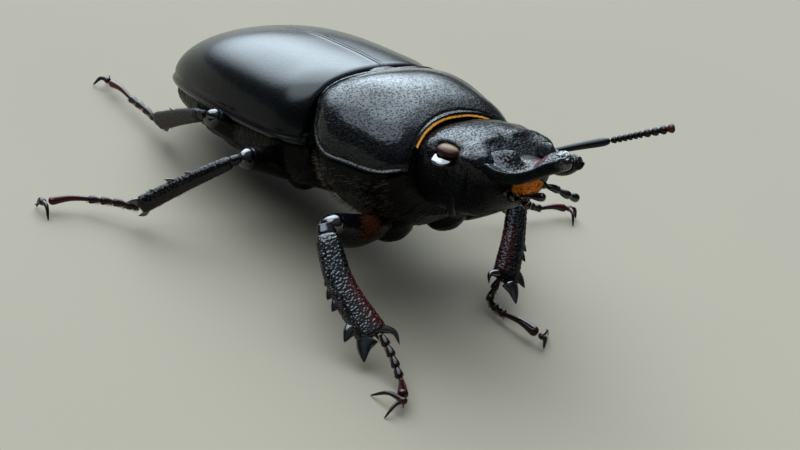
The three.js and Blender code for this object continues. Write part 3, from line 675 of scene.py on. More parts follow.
def lining(outer, sizes, to_rim, taper):
    """The inside of a wall that thins to its rim over the distance taper."""
    wall = sizes["rim"] + (sizes["wall"] - sizes["rim"]) * smooth(0.0, taper, to_rim)
    return outer - outward(outer) * wall[..., None]


def run_along(points, axis):
    """Distance in millimetres along a grid's lines from their first point."""
    step = np.linalg.norm(np.diff(points, axis=axis), axis=-1)
    start = np.zeros_like(np.take(step, [0], axis=axis))
    return np.concatenate([start, np.cumsum(step, axis=axis)], axis=axis)


def beside_suture(points, side):
    """The points, none of them nearer to the middle line than the suture."""
    x = side * np.maximum(side * points[..., 0], ELYTRA["suture"])
    return grid(x, points[..., 1], points[..., 2])


def elytron(side):
    """A wing case. Each station is an oval arch from the suture to the side margin, which rolls under into a
    narrow fold. A bead and a shallow gutter follow the margin, a fine line the suture, a low swelling marks
    the shoulder, and the front edge turns down to the body. Its flank is duller than its back."""
    rows, columns = 180, 130
    y = stations(ELYTRA["front"], ELYTRA["apex"] - 0.03, rows)
    w, h, low = elytra_half_width(y), elytra_rise(y), elytra_margin(y)
    angle = np.pi / 2 - even_angles(columns, np.pi / 2, 5.4, 7.9, ELYTRA["boxiness"])
    x = np.maximum(w * np.cos(angle) ** (2 / ELYTRA["boxiness"]), ELYTRA["suture"])
    z = low + h * np.clip(np.sin(angle), 0, 1) ** (2 / ELYTRA["boxiness"])
    roll = ELYTRA["fold"] * np.minimum(1, w / 2)
    turn = np.linspace(0.25, 2.9, 12)
    under = np.linspace(1.2, 4.8, 5)
    x = np.hstack([x, w - roll + roll * np.cos(turn), w - roll - roll * under])
    z = np.hstack([z, low - roll * np.sin(turn), low - roll * 0.3 + 0 * under])
    outer = beside_suture(grid(x * side, y, z), side)
    from_suture = run_along(outer, 1)
    to_margin = from_suture[:, [columns - 1]] - from_suture
    from_front = run_along(outer, 0)
    arch = smooth(-0.05, 0.1, to_margin)
    height = 0.10 * hump(to_margin, 0.1, 0.16) - 0.06 * hump(to_margin, 0.5, 0.18)
    height += 0.02 * hump(from_suture, 0.12, 0.12)
    height += arch * 0.05 * hump(from_front, 0.25, 0.14) - arch * 0.4 * clamp01(1 - from_front / 0.55) ** 2
    height += swelling(outer * [side, 1, 1], ELYTRA["shoulder"], 1.3, 0.10)
    height += 0.02 * undulation(outer, 2.6, 5) * arch
    inner = lining(outer, ELYTRA, to_margin, 0.7)
    flank = smooth(4.2, 1.6, outer[..., 2] - low) * smooth(0.12, 0.3, to_margin)
    matt = np.maximum(0.85 * smooth(0.42, 0.18, from_front), 0.8 * flank)
    return shell(beside_suture(raised(outer, height), side), beside_suture(inner, side), matt=matt)


def hind_rings(y):
    """The body under the elytra: a low arch on top, a deep rounded keel below, as rings right round. Also
    which of a ring's points are on the underside."""
    w, h, low = elytra_half_width(y), elytra_rise(y), elytra_margin(y)
    shy = BELLY["below_roof"] + GAP
    top, under, below = right_round(100, 7.4, 4.3, BELLY["boxiness"])
    wide = np.maximum(w - shy, 0.3 * w)
    deep = np.maximum(w - BELLY["inset"], 0.3 * w)
    x = np.hstack([-signed_power(np.cos(top), 2 / ELYTRA["boxiness"]) * wide,
                   -signed_power(np.cos(under), 2 / BELLY["boxiness"]) * deep])
    z = np.hstack([low + np.maximum(h - shy, 0.25 * h) * np.sin(top) ** (2 / ELYTRA["boxiness"]),
                   low - GAP - belly_depth(y) * np.abs(np.sin(under)) ** (2 / BELLY["boxiness"])])
    return grid(x, y, z), below


def collar(ring):
    """The hind body's front ring drawn in a little and carried forward until it meets the prothorax."""
    middle, share = COLLAR["middle"], COLLAR["share"]
    y = np.linspace(COLLAR["front"], BELLY["front"], 5)[:, None]
    return grid(ring[:, 0] * share, y, middle + (ring[:, 2] - middle) * share)


def metathorax():
    """The breast plate between the middle and hind legs: a groove down its middle, a seam along each side
    plate, a step across it behind the middle hips, and coarse pits towards the sides."""
    y = np.linspace(BELLY["front"], BELLY["waist"] - GAP / 2, 110)[:, None]
    rings, below = hind_rings(y)
    x = np.abs(rings[..., 0])
    seam = hump(x, 6.3 + 0.12 * y, 0.10) + hump(x, 4.9 - 0.1 * y, 0.08)
    height = below * (-0.14 * hump(x, 0, 0.22) - 0.12 * seam + 0.10 * smooth(2.6, 1.2, y)
                      - 0.05 * pits(rings, 0.34, 11) * smooth(1.5, 4.5, x))
    return tube(np.concatenate([collar(rings[0]), raised(rings, height, wrap=True)]))


def abdomen():
    """Five plates, each lapping over the next like tiles, with a dimple at each side, pits, and a rounded
    end."""
    y = stations(BELLY["waist"] + GAP / 2, BELLY["rear"], 150)
    rings, below = hind_rings(y)
    x = np.abs(rings[..., 0])
    lap = 0.0
    for front, rear in zip(PLATES, PLATES[1:]):
        share = (y + 0.35 * (x / 7) ** 2 - front) / (rear - front)
        tile = 0.16 * clamp01(share) ** 1.5 - 0.07 * hump(share, 0.97, 0.03)
        lap = np.where((share >= 0) & (share < 1), tile, lap)
    dimple = 0.12 * hump(x, 5.6, 0.5)
    height = below * (lap - dimple - 0.04 * pits(rings, 0.36, 13) * smooth(0.5, 4, x))
    return sculpted(rings, height)


def scutellum():
    """The small rounded triangle between the bases of the elytra, slightly domed, with fine pits."""
    s = shares(60)
    across = np.linspace(-1, 1, 70)
    y = SCUTELLUM["front"] + (SCUTELLUM["tip"] - SCUTELLUM["front"]) * s
    half_width = SCUTELLUM["half_width"] * np.sqrt(np.maximum(1 - s ** 1.7, 0.0004))
    top = SCUTELLUM["base"] + SCUTELLUM["thickness"]
    edge = 1 - (np.abs(across) ** 2.5) * (1 - 0.1 * s)
    flat = grid(half_width * across, y, top - 0.16 + 0.13 * edge * (1 - s ** 3))
    outer = flat - 0.02 * pits(flat, 0.2, 3)[..., None] * [0, 0, 1]
    return shell(outer, outer - [0, 0, 0.6])


# ---------------------------------------------------------------- prothorax
SIDE_EDGE = ((5.45, -12.9, 0.6), (6.5, -11.5, 0.15), (7.15, -9.2, 0.15), (7.5, -7.1, 0.3),
             (7.1, -5.7, 1.2), (5.95, -4.45, 2.95))
MIDLINE = ((0, -11.95, 3.8), (0, -10.4, 4.75), (0, -8.2, 5.3), (0, -6.4, 5.35), (0, -5.1, 5.05))
KEEL = ((0, -12.6, -3.2), (0, -10.0, -4.9), (0, -7.0, -4.6), (0, -5.0, -4.0))
PRONOTUM = {"wall": 0.55, "rim": 0.12, "boxiness": 2.5, "bow": 1.6}


def prothorax_arcs(v, angle, under=False, shrink=0.0, inset=0.0):
    """Arcs across the prothorax at each v (0 front, 1 rear), from the right edge over the back, or below,
    to the left edge: ovals hung between the side edges and the middle line, bowed fore and aft."""
    edge = catmull_rom(SIDE_EDGE, v)[:, None]
    middle = catmull_rom(KEEL if under else MIDLINE, v)[:, None]
    c, s = np.cos(angle), np.abs(np.sin(angle))
    box_x, box_z = (2.2, 2.0) if under else (PRONOTUM["boxiness"],) * 2
    level = edge[..., 2] - (GAP if under else 0)
    corner = 0.7 * (1 - np.sqrt(1 - clamp01(1 - v / 0.12) ** 2))[:, None]
    x = -signed_power(c, 2 / box_x) * (edge[..., 0] - inset - corner)
    y = middle[..., 1] + (edge[..., 1] - middle[..., 1]) * np.abs(c) ** PRONOTUM["bow"]
    return grid(x, y, level + (middle[..., 2] - shrink - level) * s ** (2 / box_z))


def pronotum():
    """The shield: its borders carry a fine bead with a groove inside it, each side has a low hollow, and it
    is pitted all over, more at the front and sides, hardly at all on the crown, which is glossier. Its wall
    thins to a rim along the borders."""
    angle = even_angles(320, np.pi, 7.0, 5.0, PRONOTUM["boxiness"])
    outer = prothorax_arcs(np.linspace(0, 1, 150), angle)
    across = run_along(outer, 1)
    along = run_along(outer, 0)
    to_side = np.minimum(across, across[:, -1:] - across)
    border = np.minimum(to_side, np.minimum(along, along[-1:] - along))
    x, y, z = parts_of(outer)
    crown = np.sqrt((x / 5.4) ** 2 + ((y + 6.6) / 3.6) ** 2)
    rough = 0.2 + 0.8 * smooth(0.3, 1.0, crown)
    height = -0.008 * rough * pits(outer * [1.0, 0.8, 1.0], 0.2, 21) * smooth(0.2, 0.45, border)
    height += 0.008 * rough * undulation(outer, 0.6, 4)
    height += 0.10 * hump(border, 0.10, 0.12) - 0.06 * hump(border, 0.36, 0.12)
    height -= 0.16 * clamp01(1 - border / 0.10) ** 2
    height -= 0.10 * hump(np.abs(x), 4.9, 1.0) * hump(y, -9.6, 1.3)
    inner = lining(outer, PRONOTUM, border, 0.8)
    dull = np.maximum(0.42 * smooth(0.4, 1.0, rough), 0.5 * smooth(2.6, 1.0, z))
    matt = dull * smooth(0.14, 0.28, border)
    return shell(raised(outer, height), inner, gloss=0.6 * (1 - rough), matt=matt)


def prosternum():
    """The prothorax below its shield: a keel between the front hips, hollow cheeks under the side edges, a
    seam along each side, and pits."""
    v = np.linspace(0.02, 0.98, 110)
    top, under, below = right_round(150, 7.0, 4.3, 2.2)
    rings = np.concatenate([prothorax_arcs(v, top, False, 0.75 + GAP, 0.55 + GAP),
                            prothorax_arcs(v, under, True, 0.0, GAP)], 1)
    x, y = np.abs(rings[..., 0]), rings[..., 1]
    seam = hump(x, 4.6 + 0.25 * (y + 9), 0.09)
    height = below * (0.16 * hump(x, 0, 0.6) * smooth(-11.5, -9, y) - 0.12 * seam
                      - 0.2 * hump(x, 6.0, 0.6) - 0.045 * pits(rings, 0.3, 17))
    return sculpted(rings, height)


def front_fringe():
    """Golden hairs in three close rows along the pronotum's front edge, lying forwards over the neck. Past
    the middle, towards the left end, their tips are painted dark as painted shade."""
    count = 1500
    angle = np.linspace(0.15, 0.90, count) * np.pi
    arc = prothorax_arcs(np.array([0.0]), angle)[0]
    inwards = unit([0, 0, 1.0] - unit(arc - arc.mean(0) - [0, 0, 2.5])) * [1, 0, -1]
    row = rng.integers(0, 3, count)
    roots = arc + [0, 0.1, -0.1] + 0.035 * row[:, None] * inwards
    roots += rng.normal(0, 0.012, (count, 3))
    ways = grid(rng.normal(0, 0.16, count) - 0.024 * arc[:, 0], -1.0, -0.12)
    share = angle / np.pi
    length = rng.uniform(0.1, 0.2, count) * (0.6 + 0.4 * np.sin(angle))
    hairs, hair_map = tufts(roots, ways, length, 0.02, (0, 0, -0.2), np.stack([share, 0 * share + 0.02], -1))
    # painted shade: past the middle of the edge the hairs' tips are drawn towards the dark root colour
    return toned_and_shaded(hairs, 0.1 + 0.9 * smooth(0.85, 0.55, share)), hair_map


for word, side in SIDES.items():
    trunk_piece(f"elytron_{word}_shell", [elytron(side)], SMOOTH, "smooth_shell", f"elytron_{word}")
trunk_piece("metathorax_plate", [metathorax()], BELLY_SHELL, "smooth_shell", "metathorax")
trunk_piece("abdomen_plates", [abdomen()], BELLY_SHELL, "smooth_shell", "abdomen")
trunk_piece("scutellum_plate", [scutellum()], SMOOTH, "smooth_shell", "scutellum")
trunk_piece("pronotum_shield", [pronotum()], ROUGH, "textured_shell", "pronotum")
# The skins of the breast that golden down grows on, and the height below which it is thick.
DOWNY = {
    "metathorax": (hind_rings(np.linspace(-4.0, 3.0, 80)[:, None])[0], -0.4),
    "prosternum": (prothorax_arcs(np.linspace(0.1, 0.95, 80), np.linspace(0, np.pi, 90), under=True), -0.2),
}
for part, (rings, level) in DOWNY.items():
    below = smooth(level + 0.6, level - 0.8, rings[..., 2])
    where = below * (0.15 + hump(np.abs(rings[..., 0]), 5.2, 1.6))
    down, down_map = fur(rings, where, 1500, (0, 0.9, -0.3), 0.5, 0.011, lift=0.35)
    trunk_piece(f"{part}_down", [down], BREAST_HAIR, "brush", uv=down_map)
trunk_piece("prosternum_plate", [prosternum()], BELLY_SHELL, "smooth_shell", "prosternum")
fringe, fringe_map = front_fringe()
trunk_piece("pronotum_fringe", [fringe], FRINGE_HAIR, "brush", uv=fringe_map)


# ---------------------------------------------------------------- head
HEAD = {"rear": -11.2, "front": -18.15, "boxiness": 2.7, "side_level": 1.3}
# Half width, top and underside of the head at stations from the neck to the lip.
HEAD_SECTIONS = ((-11.2, 3.7, 2.9, -2.0), (-12.6, 4.25, 3.5, -2.3), (-14.2, 4.4, 3.85, -2.3),
                 (-15.8, 4.5, 3.75, -2.1), (-17.0, 4.35, 3.25, -1.6), (-17.8, 3.75, 2.65, -0.8),
                 (-18.15, 2.8, 2.35, 0.1))
EYE = {"centre": (3.96, -14.8, 2.62), "radius": (0.85, 1.0, 0.44)}
EYE_SHELF = ((4.3, -13.75, 2.1), (4.6, -14.1, 2.02), (4.72, -14.8, 1.96), (4.5, -15.4, 2.1))
# Swellings of the head on both sides: place, radii, and height, which is negative for a hollow.
HEAD_SWELLINGS = {
    "knob of the forehead": ((0.75, -16.2, 3.7), (0.32, 0.28, 0.6), 0.05),
    "brow": ((3.85, -14.7, 3.2), (0.55, 1.1, 0.35), 0.30),
    "shelf before the eye": ((4.2, -16.25, 2.5), (0.9, 0.75, 0.42), 0.36),
    "root of the shelf": ((3.2, -16.6, 3.1), (0.7, 0.7, 0.5), 0.1),
    "socket of the eye": ((4.5, -14.75, 2.45), (0.9, 0.95, 0.75), -0.35),
    "temple": ((4.3, -13.0, 1.8), (1.0, 0.8, 1.2), 0.14),
    "cheek over the jaw": ((3.55, -17.2, 2.4), (0.9, 0.9, 0.8), 0.45),
}


def at_station(y, column):
    """A column of HEAD_SECTIONS at y, smooth through its stations."""
    curve = catmull_rom([(row[0], row[column], 0) for row in HEAD_SECTIONS], np.linspace(0, 1, 400))
    return np.interp(-y, -curve[:, 0], curve[:, 1])


def head():
    """The head capsule: oval sections, with a ridge across the forehead, a hollow between it and the lip, the
    swellings of the table, a seam behind the jaws, two down the throat, a furrow along each cheek, and fine
    pits on all of the upper side. Below that it is dull."""
    y = HEAD["rear"] + (HEAD["front"] - HEAD["rear"]) * np.sin(shares(210) * np.pi / 2) ** 0.9
    half_width, top, base = (at_station(y, column) for column in (1, 2, 3))
    angle = np.concatenate([even_angles(150, np.pi, 4.4, 2.6, HEAD["boxiness"])[:-1],
                            np.pi + even_angles(110, np.pi, 4.4, 3.5, HEAD["boxiness"])[:-1]])
    c, s = (signed_power(wave, 2 / HEAD["boxiness"]) for wave in (np.cos(angle), np.sin(angle)))
    level = HEAD["side_level"]
    rings = grid(half_width * c, y, level + np.where(s > 0, top - level, level - base) * s)
    folded = rings.copy()
    folded[..., 0] = np.abs(folded[..., 0])
    x, y, z = parts_of(folded)
    upper = smooth(1.6, 2.6, z)
    grain = smooth(0.9, 2.3, z)
    height = 0.12 * upper * hump(y, -16.15, 0.4) * smooth(4.2, 3.4, x) * smooth(0.3, 1.6, x)
    height -= 0.08 * upper * hump(y, -17.2, 0.6) * smooth(3.0, 1.2, x)
    for place, radii, rise in HEAD_SWELLINGS.values():
        height += swelling(folded, place, radii, rise)
    height -= 0.13 * hump(y, -16.75, 0.10) * smooth(2.2, 1.6, z)
    height -= 0.10 * smooth(-1.2, -1.8, z) * hump(x, 1.7, 0.10)
    height -= 0.12 * smooth(2.0, 1.2, z) * smooth(0.2, 0.9, z) * hump(y, -15.4, 0.9)
    height -= 0.012 * (0.12 + 0.88 * grain) * pits(rings, 0.2, 31) * smooth(-18.1, -17.8, y)
    height += 0.01 * grain * undulation(rings, 0.7, 8)
    return sculpted(rings, height, matt=1 - grain)


def eye(side):
    """An eye, its upper edge marked for painted light."""
    rings = ball(EYE["centre"], EYE["radius"])
    share = (rings[..., 2] - EYE["centre"][2]) / EYE["radius"][2]
    # painted light: a mark along the eye's lit upper edge
    return tube(rings * [side, 1, 1], amber=smooth(0.6, 0.85, share))


def eye_shelf(side):
    """The smooth wet-looking lip under an eye."""
    rings = spindle(EYE_SHELF, (1, 0, -0.75), lambda t: 0.36 * np.sin(np.pi * t) ** 0.5 + 0.02,
                    lambda t: 0.14 * np.sin(np.pi * t) ** 0.6 + 0.02, steps=48, count=32, boxiness=2.3)
    return tube(raised(rings, 0.07 * undulation(rings, 0.45, 6), wrap=True) * [side, 1, 1])


# Loops round a jaw from its base to its tip: outer rim, hollow of the face, inner rim, inner side,
# underside, outer side. The inner rim rises to a hump over the lip.
JAW_LOOPS = (
    ((3.7, -16.4, 2.5), (3.4, -16.5, 2.7), (3.0, -16.6, 2.75),
     (2.1, -16.6, 1.8), (2.8, -16.6, 1.1), (3.7, -16.5, 1.6)),
    ((3.85, -17.4, 2.6), (3.1, -17.3, 2.75), (2.5, -17.2, 3.1),
     (1.9, -17.3, 1.9), (2.8, -17.5, 1.2), (3.75, -17.5, 1.8)),
    ((3.75, -18.6, 2.4), (2.9, -18.6, 2.35), (2.0, -18.6, 3.5),
     (1.3, -18.5, 2.2), (2.5, -18.7, 1.4), (3.6, -18.7, 1.75)),
    ((3.35, -19.5, 2.4), (2.6, -19.4, 2.3), (1.75, -19.2, 2.95),
     (1.15, -19.1, 2.1), (2.2, -19.5, 1.5), (3.2, -19.6, 1.8)),
    ((2.65, -20.4, 2.75), (1.9, -20.1, 2.7), (1.1, -19.8, 2.9),
     (0.9, -19.9, 2.3), (1.7, -20.3, 1.9), (2.5, -20.5, 2.2)),
    ((1.85, -21.15, 3.4), (1.4, -20.85, 3.7), (0.75, -20.5, 3.7),
     (0.55, -20.6, 2.9), (1.05, -21.1, 2.5), (1.6, -21.3, 2.8)),
    ((1.3, -21.75, 3.7), (0.95, -21.6, 4.15), (0.5, -21.3, 4.1),
     (0.3, -21.35, 3.45), (0.6, -21.8, 3.0), (1.1, -21.95, 3.2)),
    ((1.0, -21.98, 3.75), (0.88, -21.92, 3.9), (0.7, -21.82, 3.88),
     (0.62, -21.85, 3.6), (0.72, -21.98, 3.45), (0.92, -22.03, 3.5)))
# How the left jaw's tip lies lower and more open than the loops, and the right one's reaches further.
LEFT_JAW = {"opened": (0.5, 0.0, -0.35), "dropped": (0, 0, 0.2), "slimmer": 0.32}
RIGHT_JAW = {"longer": (0, -0.45, 0.15)}


def jaw(side):
    """A jaw: broad and blunt, its tip turned up and in. Its face is hollow between a sharp outer rim and an
    inner rim that rises to a hump; its outer side is smooth and dull. The left one stands lower and more
    open, with a slimmer tip; the right one is a little longer."""
    rows, columns = 170, 180
    rings = lofted(JAW_LOOPS, rows, columns)
    t = shares(rows)
    end = smooth(0.6, 0.95, t)[..., None]
    if side > 0:
        rings = rings + t[..., None] * LEFT_JAW["opened"]
        middle = rings.mean(1, keepdims=True)
        rings = middle + (rings - middle) * (1 - LEFT_JAW["slimmer"] * end) - end * LEFT_JAW["dropped"]
    else:
        rings = rings + end * RIGHT_JAW["longer"]
    turn = np.arange(columns) / columns * len(JAW_LOOPS[0])
    face = smooth(-0.2, 0.3, turn) * smooth(2.4, 2.0, turn) + smooth(5.8, 6.0, turn)
    tip = smooth(0.74, 0.84, t)
    grain = np.maximum(face, tip) * smooth(1.0, 0.97, t)
    rims = hump(turn, 0.0, 0.16) + hump(turn, 6.0, 0.16)
    height = 0.05 * rims * smooth(0.08, 0.2, t) * smooth(0.85, 0.7, t)
    height -= 0.025 * grain * pits(rings, 0.2, 41) + 0.06 * tip * pits(rings, 0.34, 43)
    red = 0.9 * hump(t, 0.66, 0.06) * smooth(0.6, 1.4, turn) * smooth(3.4, 2.6, turn)
    waxed = grain * (0.4 + 0.6 * tip) * (1 - 0.6 * (side > 0) * tip)
    return tube(raised(rings, height, wrap=True) * [side, 1, 1], matt=1 - waxed, red=red)


def lip():
    """The lip plate between the jaws, rounded in front, red along its front edge."""
    rings = spindle([(0, -17.4, 2.2), (0, -18.7, 2.35), (0, -19.7, 2.4)], (1, 0, 0),
                    lambda t: 1.35 * (1 - 0.6 * t ** 2.2) * rounded_end(t, 8, 2) + 0.05,
                    lambda t: 0.32 * rounded_end(t, 5, 2) + 0.02, steps=60, count=60, boxiness=2.4)
    return tube(rings, red=0.9 * smooth(0.5, 0.9, shares(60)), matt=0.6)


def chain(points, ends, radius, neck, fullest=0.72, count=18, bulge=None, **marks):
    """Beads along a route, one between each two ends: narrow at the base, fullest past the middle, and
    rounded at the end. radius(t) is taken at the middle of each bead."""
    steps = 16
    skins = []
    for start, stop in zip(ends, ends[1:]):
        size = radius((start + stop) / 2)
        swell = lambda u: (neck + (1 - neck) * np.sin(np.pi / 2 * clamp01(u / fullest)) ** 1.2) \
            * rounded_end((u - fullest) / (1.02 - fullest), 2.4, 2)
        rings = spindle(points, (0, 0, 1), lambda u: size * swell(u), steps=steps, count=count,
                        share=np.linspace(start, stop + 0.02, steps).clip(0, 1), bulge=bulge)
        skins.append(tube(rings, **marks))
    return skins


PALPS = {
    "maxillary_palp_right": ((-1.75, -17.7, 0.55), (-1.55, -18.6, 0.3), (-1.4, -19.3, 0.1),
                             (-1.3, -20.1, -0.05)),
    "maxillary_palp_left": ((1.5, -18.0, 0.55), (2.3, -19.3, 0.4), (3.1, -19.8, 0.0),
                            (4.3, -20.0, -0.45)),
    "labial_palp_right": ((-0.5, -17.6, -0.35), (-0.6, -18.6, -0.25), (-0.65, -19.5, -0.1)),
    "labial_palp_left": ((0.5, -17.6, -0.35), (0.8, -18.6, -0.15), (1.0, -19.6, 0.05)),
}
# Root, middle and end of the scape, end of the funicle, and tip. The right feeler is folded under the head.
FEELERS = {
    "right": ((-4.1, -16.15, 0.7), (-3.95, -15.6, -0.85), (-2.9, -14.9, -2.0), (-1.2, -14.3, -2.5),
              (0.6, -13.8, -2.6)),
    "left": ((4.2, -16.1, 1.5), (5.6, -18.1, 2.5), (7.25, -19.95, 3.3), (8.5, -21.6, 4.1),
             (9.75, -23.3, 4.9)),
}


def feeler(word):
    """Scape, funicle and club. The four beads of the club each reach out to one side as a thick leaf. The
    folded feeler is dull."""
    base, middle, elbow, joint, tip = FEELERS[word]
    folded = 1.0 if word == "right" else 0.0
    scape = spindle([base, middle, elbow], (0, 0, 1),
                    lambda t: (0.2 + 0.15 * t ** 2) * rounded_end(t, 14, 2) + 0.02, steps=44, count=22)
    knob = tube(ball(base, (0.26, 0.26, 0.26), 14, 18), matt=1.0)
    funicle = chain([elbow, joint], np.linspace(0, 1, 7), lambda t: 0.25 + 0.02 * t, neck=0.55, matt=folded)
    leaf = lambda u, angle: 1 + 0.75 * hump(angle, 4.4, 0.55) * smooth(0.1, 0.6, u)
    club = chain([joint, tip], (0.0, 0.24, 0.49, 0.74, 0.98), lambda t: 0.29 + 0.05 * t, neck=0.45,
                 fullest=0.6, bulge=leaf, red=0.1, matt=folded)
    club[-1][3]["red"][:] = 0.75
    return [tube(scape, matt=folded), knob], funicle, club


def brush(side):
    """A mouth brush: a dark orange core with stiff hairs fanning forwards from it, a third of them dark,
    and those rooted near its back end drawn darker still, painted shade where it runs in under the head."""
    points = [(side * 0.62, -17.5, 0.5), (side * 0.62, -18.5, 0.7), (side * 0.5, -19.2, 0.88)]
    swell = lambda t: 0.16 + 0.14 * np.sin(np.pi * t ** 0.7)
    core = tube(spindle(points, (1, 0, 0), swell, steps=16, count=14), tip=0.05, shade=0.0)
    core_map = np.linspace([0, 0], [1, 0], len(core[0]))
    count = 520
    share = rng.uniform(0.05, 0.9, count) ** 0.8
    centres, along = route(points, share)
    turn = rng.uniform(0, 2 * np.pi, count)
    radial = grid(np.cos(turn), 0.0, np.sin(turn))
    roots = centres + radial * swell(share)[:, None] * 0.9
    ways = along + radial * (0.3 + 0.3 * rng.uniform(0, 1, (count, 1))) + rng.normal(0, 0.12, (count, 3))
    length = rng.uniform(0.25, 0.65, count) * (1.05 - 0.3 * share)
    place = np.stack([share, turn / (2 * np.pi)], -1)
    hairs, hair_map = tufts(roots, ways, length, 0.034, (0, -0.15, 0), place)
    dark = np.where(rng.uniform(0, 1, count) < 0.35, 0.15, 1.0)
    # painted shade: hairs rooted towards the back of the brush, under the head, are drawn to their dark root
    # colour
    hairs = toned_and_shaded(hairs, dark * (0.12 + 0.88 * smooth(0.4, 0.8, share)))
    return [core, hairs], np.vstack([core_map, hair_map])


head_piece("head_capsule", [head()], HEAD_SHELL, "textured_shell", "head")
head_piece("lip_plate", [lip()], JAW, "mouthparts", "labrum")
for word, side in SIDES.items():
    head_piece(f"eye_{word}_shelf", [eye_shelf(side)], WET_RIM, "smooth_shell")
    head_piece(f"eye_{word}_globe", [eye(side)], EYE_FINISH, "eye", f"eye_{word}")
    head_piece(f"mandible_{word}_jaw", [jaw(side)], JAW, "mouthparts", f"mandible_{word}")
    skins, brush_map = brush(side)
    head_piece(f"mouth_brush_{word}_hairs", skins, BRUSH_HAIR, "brush", f"mouth_brush_{word}", uv=brush_map)
    for part, skins in zip(("scape", "funicle", "club"), feeler(word)):
        head_piece(f"antenna_{part}_{word}_shell", skins, FEELER, "antenna", f"antenna_{part}_{word}")
for name, points in PALPS.items():
    beads = np.linspace(0, 1, len(points) + (1 if name.startswith("max") else 0))
    head_piece(f"{name}_shell", chain(points, beads, lambda t: 0.25 + 0.08 * t, neck=0.55, count=24), PALP,
               "mouthparts", name)


# ---------------------------------------------------------------- legs
# Joints of each leg where it stands; the hip is given in the trunk's own frame. The four short
# segments of the foot run from the ankle over the arch to the sole, the fifth from there to the toe.
# Edge is the way the outer, toothed edge of the shin looks, bow how far the shin curves out, sag how far the
# middle of the thigh rises, and dull how far the shin has lost its gloss.
LEGS = {
    "front_right": {
        "kind": "fore", "hip": (-2.7, -9.8, -4.5), "knee": (-10.4, -11.45, 6.8),
        "ankle": (-9.6, -18.3, 2.35), "arch": (-9.65, -19.9, 1.55), "sole": (-9.85, -21.2, 0.8),
        "toe": (-11.2, -22.95, 0.8), "claws": ((-13.15, -23.6), (-12.35, -21.3)),
        "edge": (-0.75, 0.25, -0.35), "bow": 0.6, "sag": -0.6, "dull": 0.4},
    "front_left": {
        "kind": "fore", "hip": (2.7, -9.8, -4.5), "knee": (10.2, -10.5, 5.8),
        "ankle": (4.5, -15.6, 2.4), "arch": (3.85, -16.05, 0.85), "sole": (3.85, -17.65, 0.65),
        "toe": (4.3, -20.5, 0.8), "claws": ((4.4, -21.4), (6.1, -20.2)),
        "edge": (0.75, -0.4, -0.3), "bow": 0.2, "sag": 0.3, "dull": 0.93},
    "middle_right": {
        "kind": "middle", "hip": (-3.2, -1.0, -3.7), "knee": (-10.7, -2.5, 6.8),
        "ankle": (-15.45, 0.85, 1.5), "arch": (-16.7, 2.15, 1.4), "sole": (-18.0, 3.4, 1.1),
        "toe": (-20.7, 4.25, 0.8), "claws": ((-21.3, 3.1), (-21.1, 4.9)),
        "edge": (-0.4, 0.1, 0.8), "bow": 0.1, "sag": 0.35, "dull": 0.75},
    "middle_left": {
        "kind": "middle", "hip": (3.2, -1.0, -3.7), "knee": (10.4, -2.8, 7.3),
        "ankle": (14.5, -7.0, 1.8), "arch": (16.25, -7.2, 1.6), "sole": (18.0, -7.35, 1.1),
        "toe": (20.8, -7.7, 0.85), "claws": ((20.6, -9.1), (21.9, -8.2)),
        "edge": (0.4, 0.1, 0.8), "bow": 0.1, "sag": 0.35, "dull": 0.8},
    "hind_right": {
        "kind": "hind", "hip": (-2.8, 2.2, -3.7), "knee": (-8.7, 4.0, 6.4),
        "ankle": (-6.25, 11.1, 1.45), "arch": (-6.0, 13.3, 1.35), "sole": (-5.8, 15.5, 1.1),
        "toe": (-5.6, 18.5, 0.85), "claws": ((-6.2, 19.7), (-4.8, 19.8)),
        "edge": (-0.5, 0.1, 0.7), "bow": 0.1, "sag": 0.35, "dull": 0.85},
    "hind_left": {
        "kind": "hind", "hip": (2.8, 2.2, -3.7), "knee": (8.6, 4.6, 6.4),
        "ankle": (8.6, 12.4, 1.45), "arch": (8.8, 14.5, 1.35), "sole": (9.0, 16.6, 1.1),
        "toe": (9.3, 19.5, 0.85), "claws": ((8.8, 20.8), (10.2, 20.8)),
        "edge": (0.5, 0.1, 0.7), "bow": 0.1, "sag": 0.35, "dull": 0.85},
}
# Half widths of the thigh, half widths of the shin at its two ends and its half thickness, how far its end
# stands out from the ankle, half axes of the coxa, teeth as (place along the shin, length, half width), the
# length of the inner spur, and how much the last segment of the foot widens.
KINDS = {
    "fore": {
        "femur": (1.35, 1.1), "tibia": (0.82, 1.12), "thick": 0.5, "heel": 0.55, "coxa": (1.9, 1.25, 1.35),
        "teeth": ((0.42, 0.25, 0.3), (0.52, 0.45, 0.42), (0.62, 0.5, 0.42), (0.86, 0.9, 0.5),
                  (0.985, 1.1, 0.5)),
        "spur": 1.7, "knob": 0.26},
    "middle": {
        "femur": (1.0, 0.8), "tibia": (0.5, 0.72), "thick": 0.45, "heel": 0.15, "coxa": (1.35, 1.3, 1.15),
        "teeth": ((0.45, 0.35, 0.2), (0.62, 0.55, 0.24), (0.8, 0.3, 0.2), (0.97, 0.5, 0.3)),
        "spur": 0.9, "knob": 0.17},
    "hind": {
        "femur": (1.05, 0.8), "tibia": (0.5, 0.78), "thick": 0.45, "heel": 0.15, "coxa": (2.3, 1.0, 1.0),
        "teeth": ((0.55, 0.4, 0.22), (0.97, 0.5, 0.3)),
        "spur": 0.9, "knob": 0.17},
}


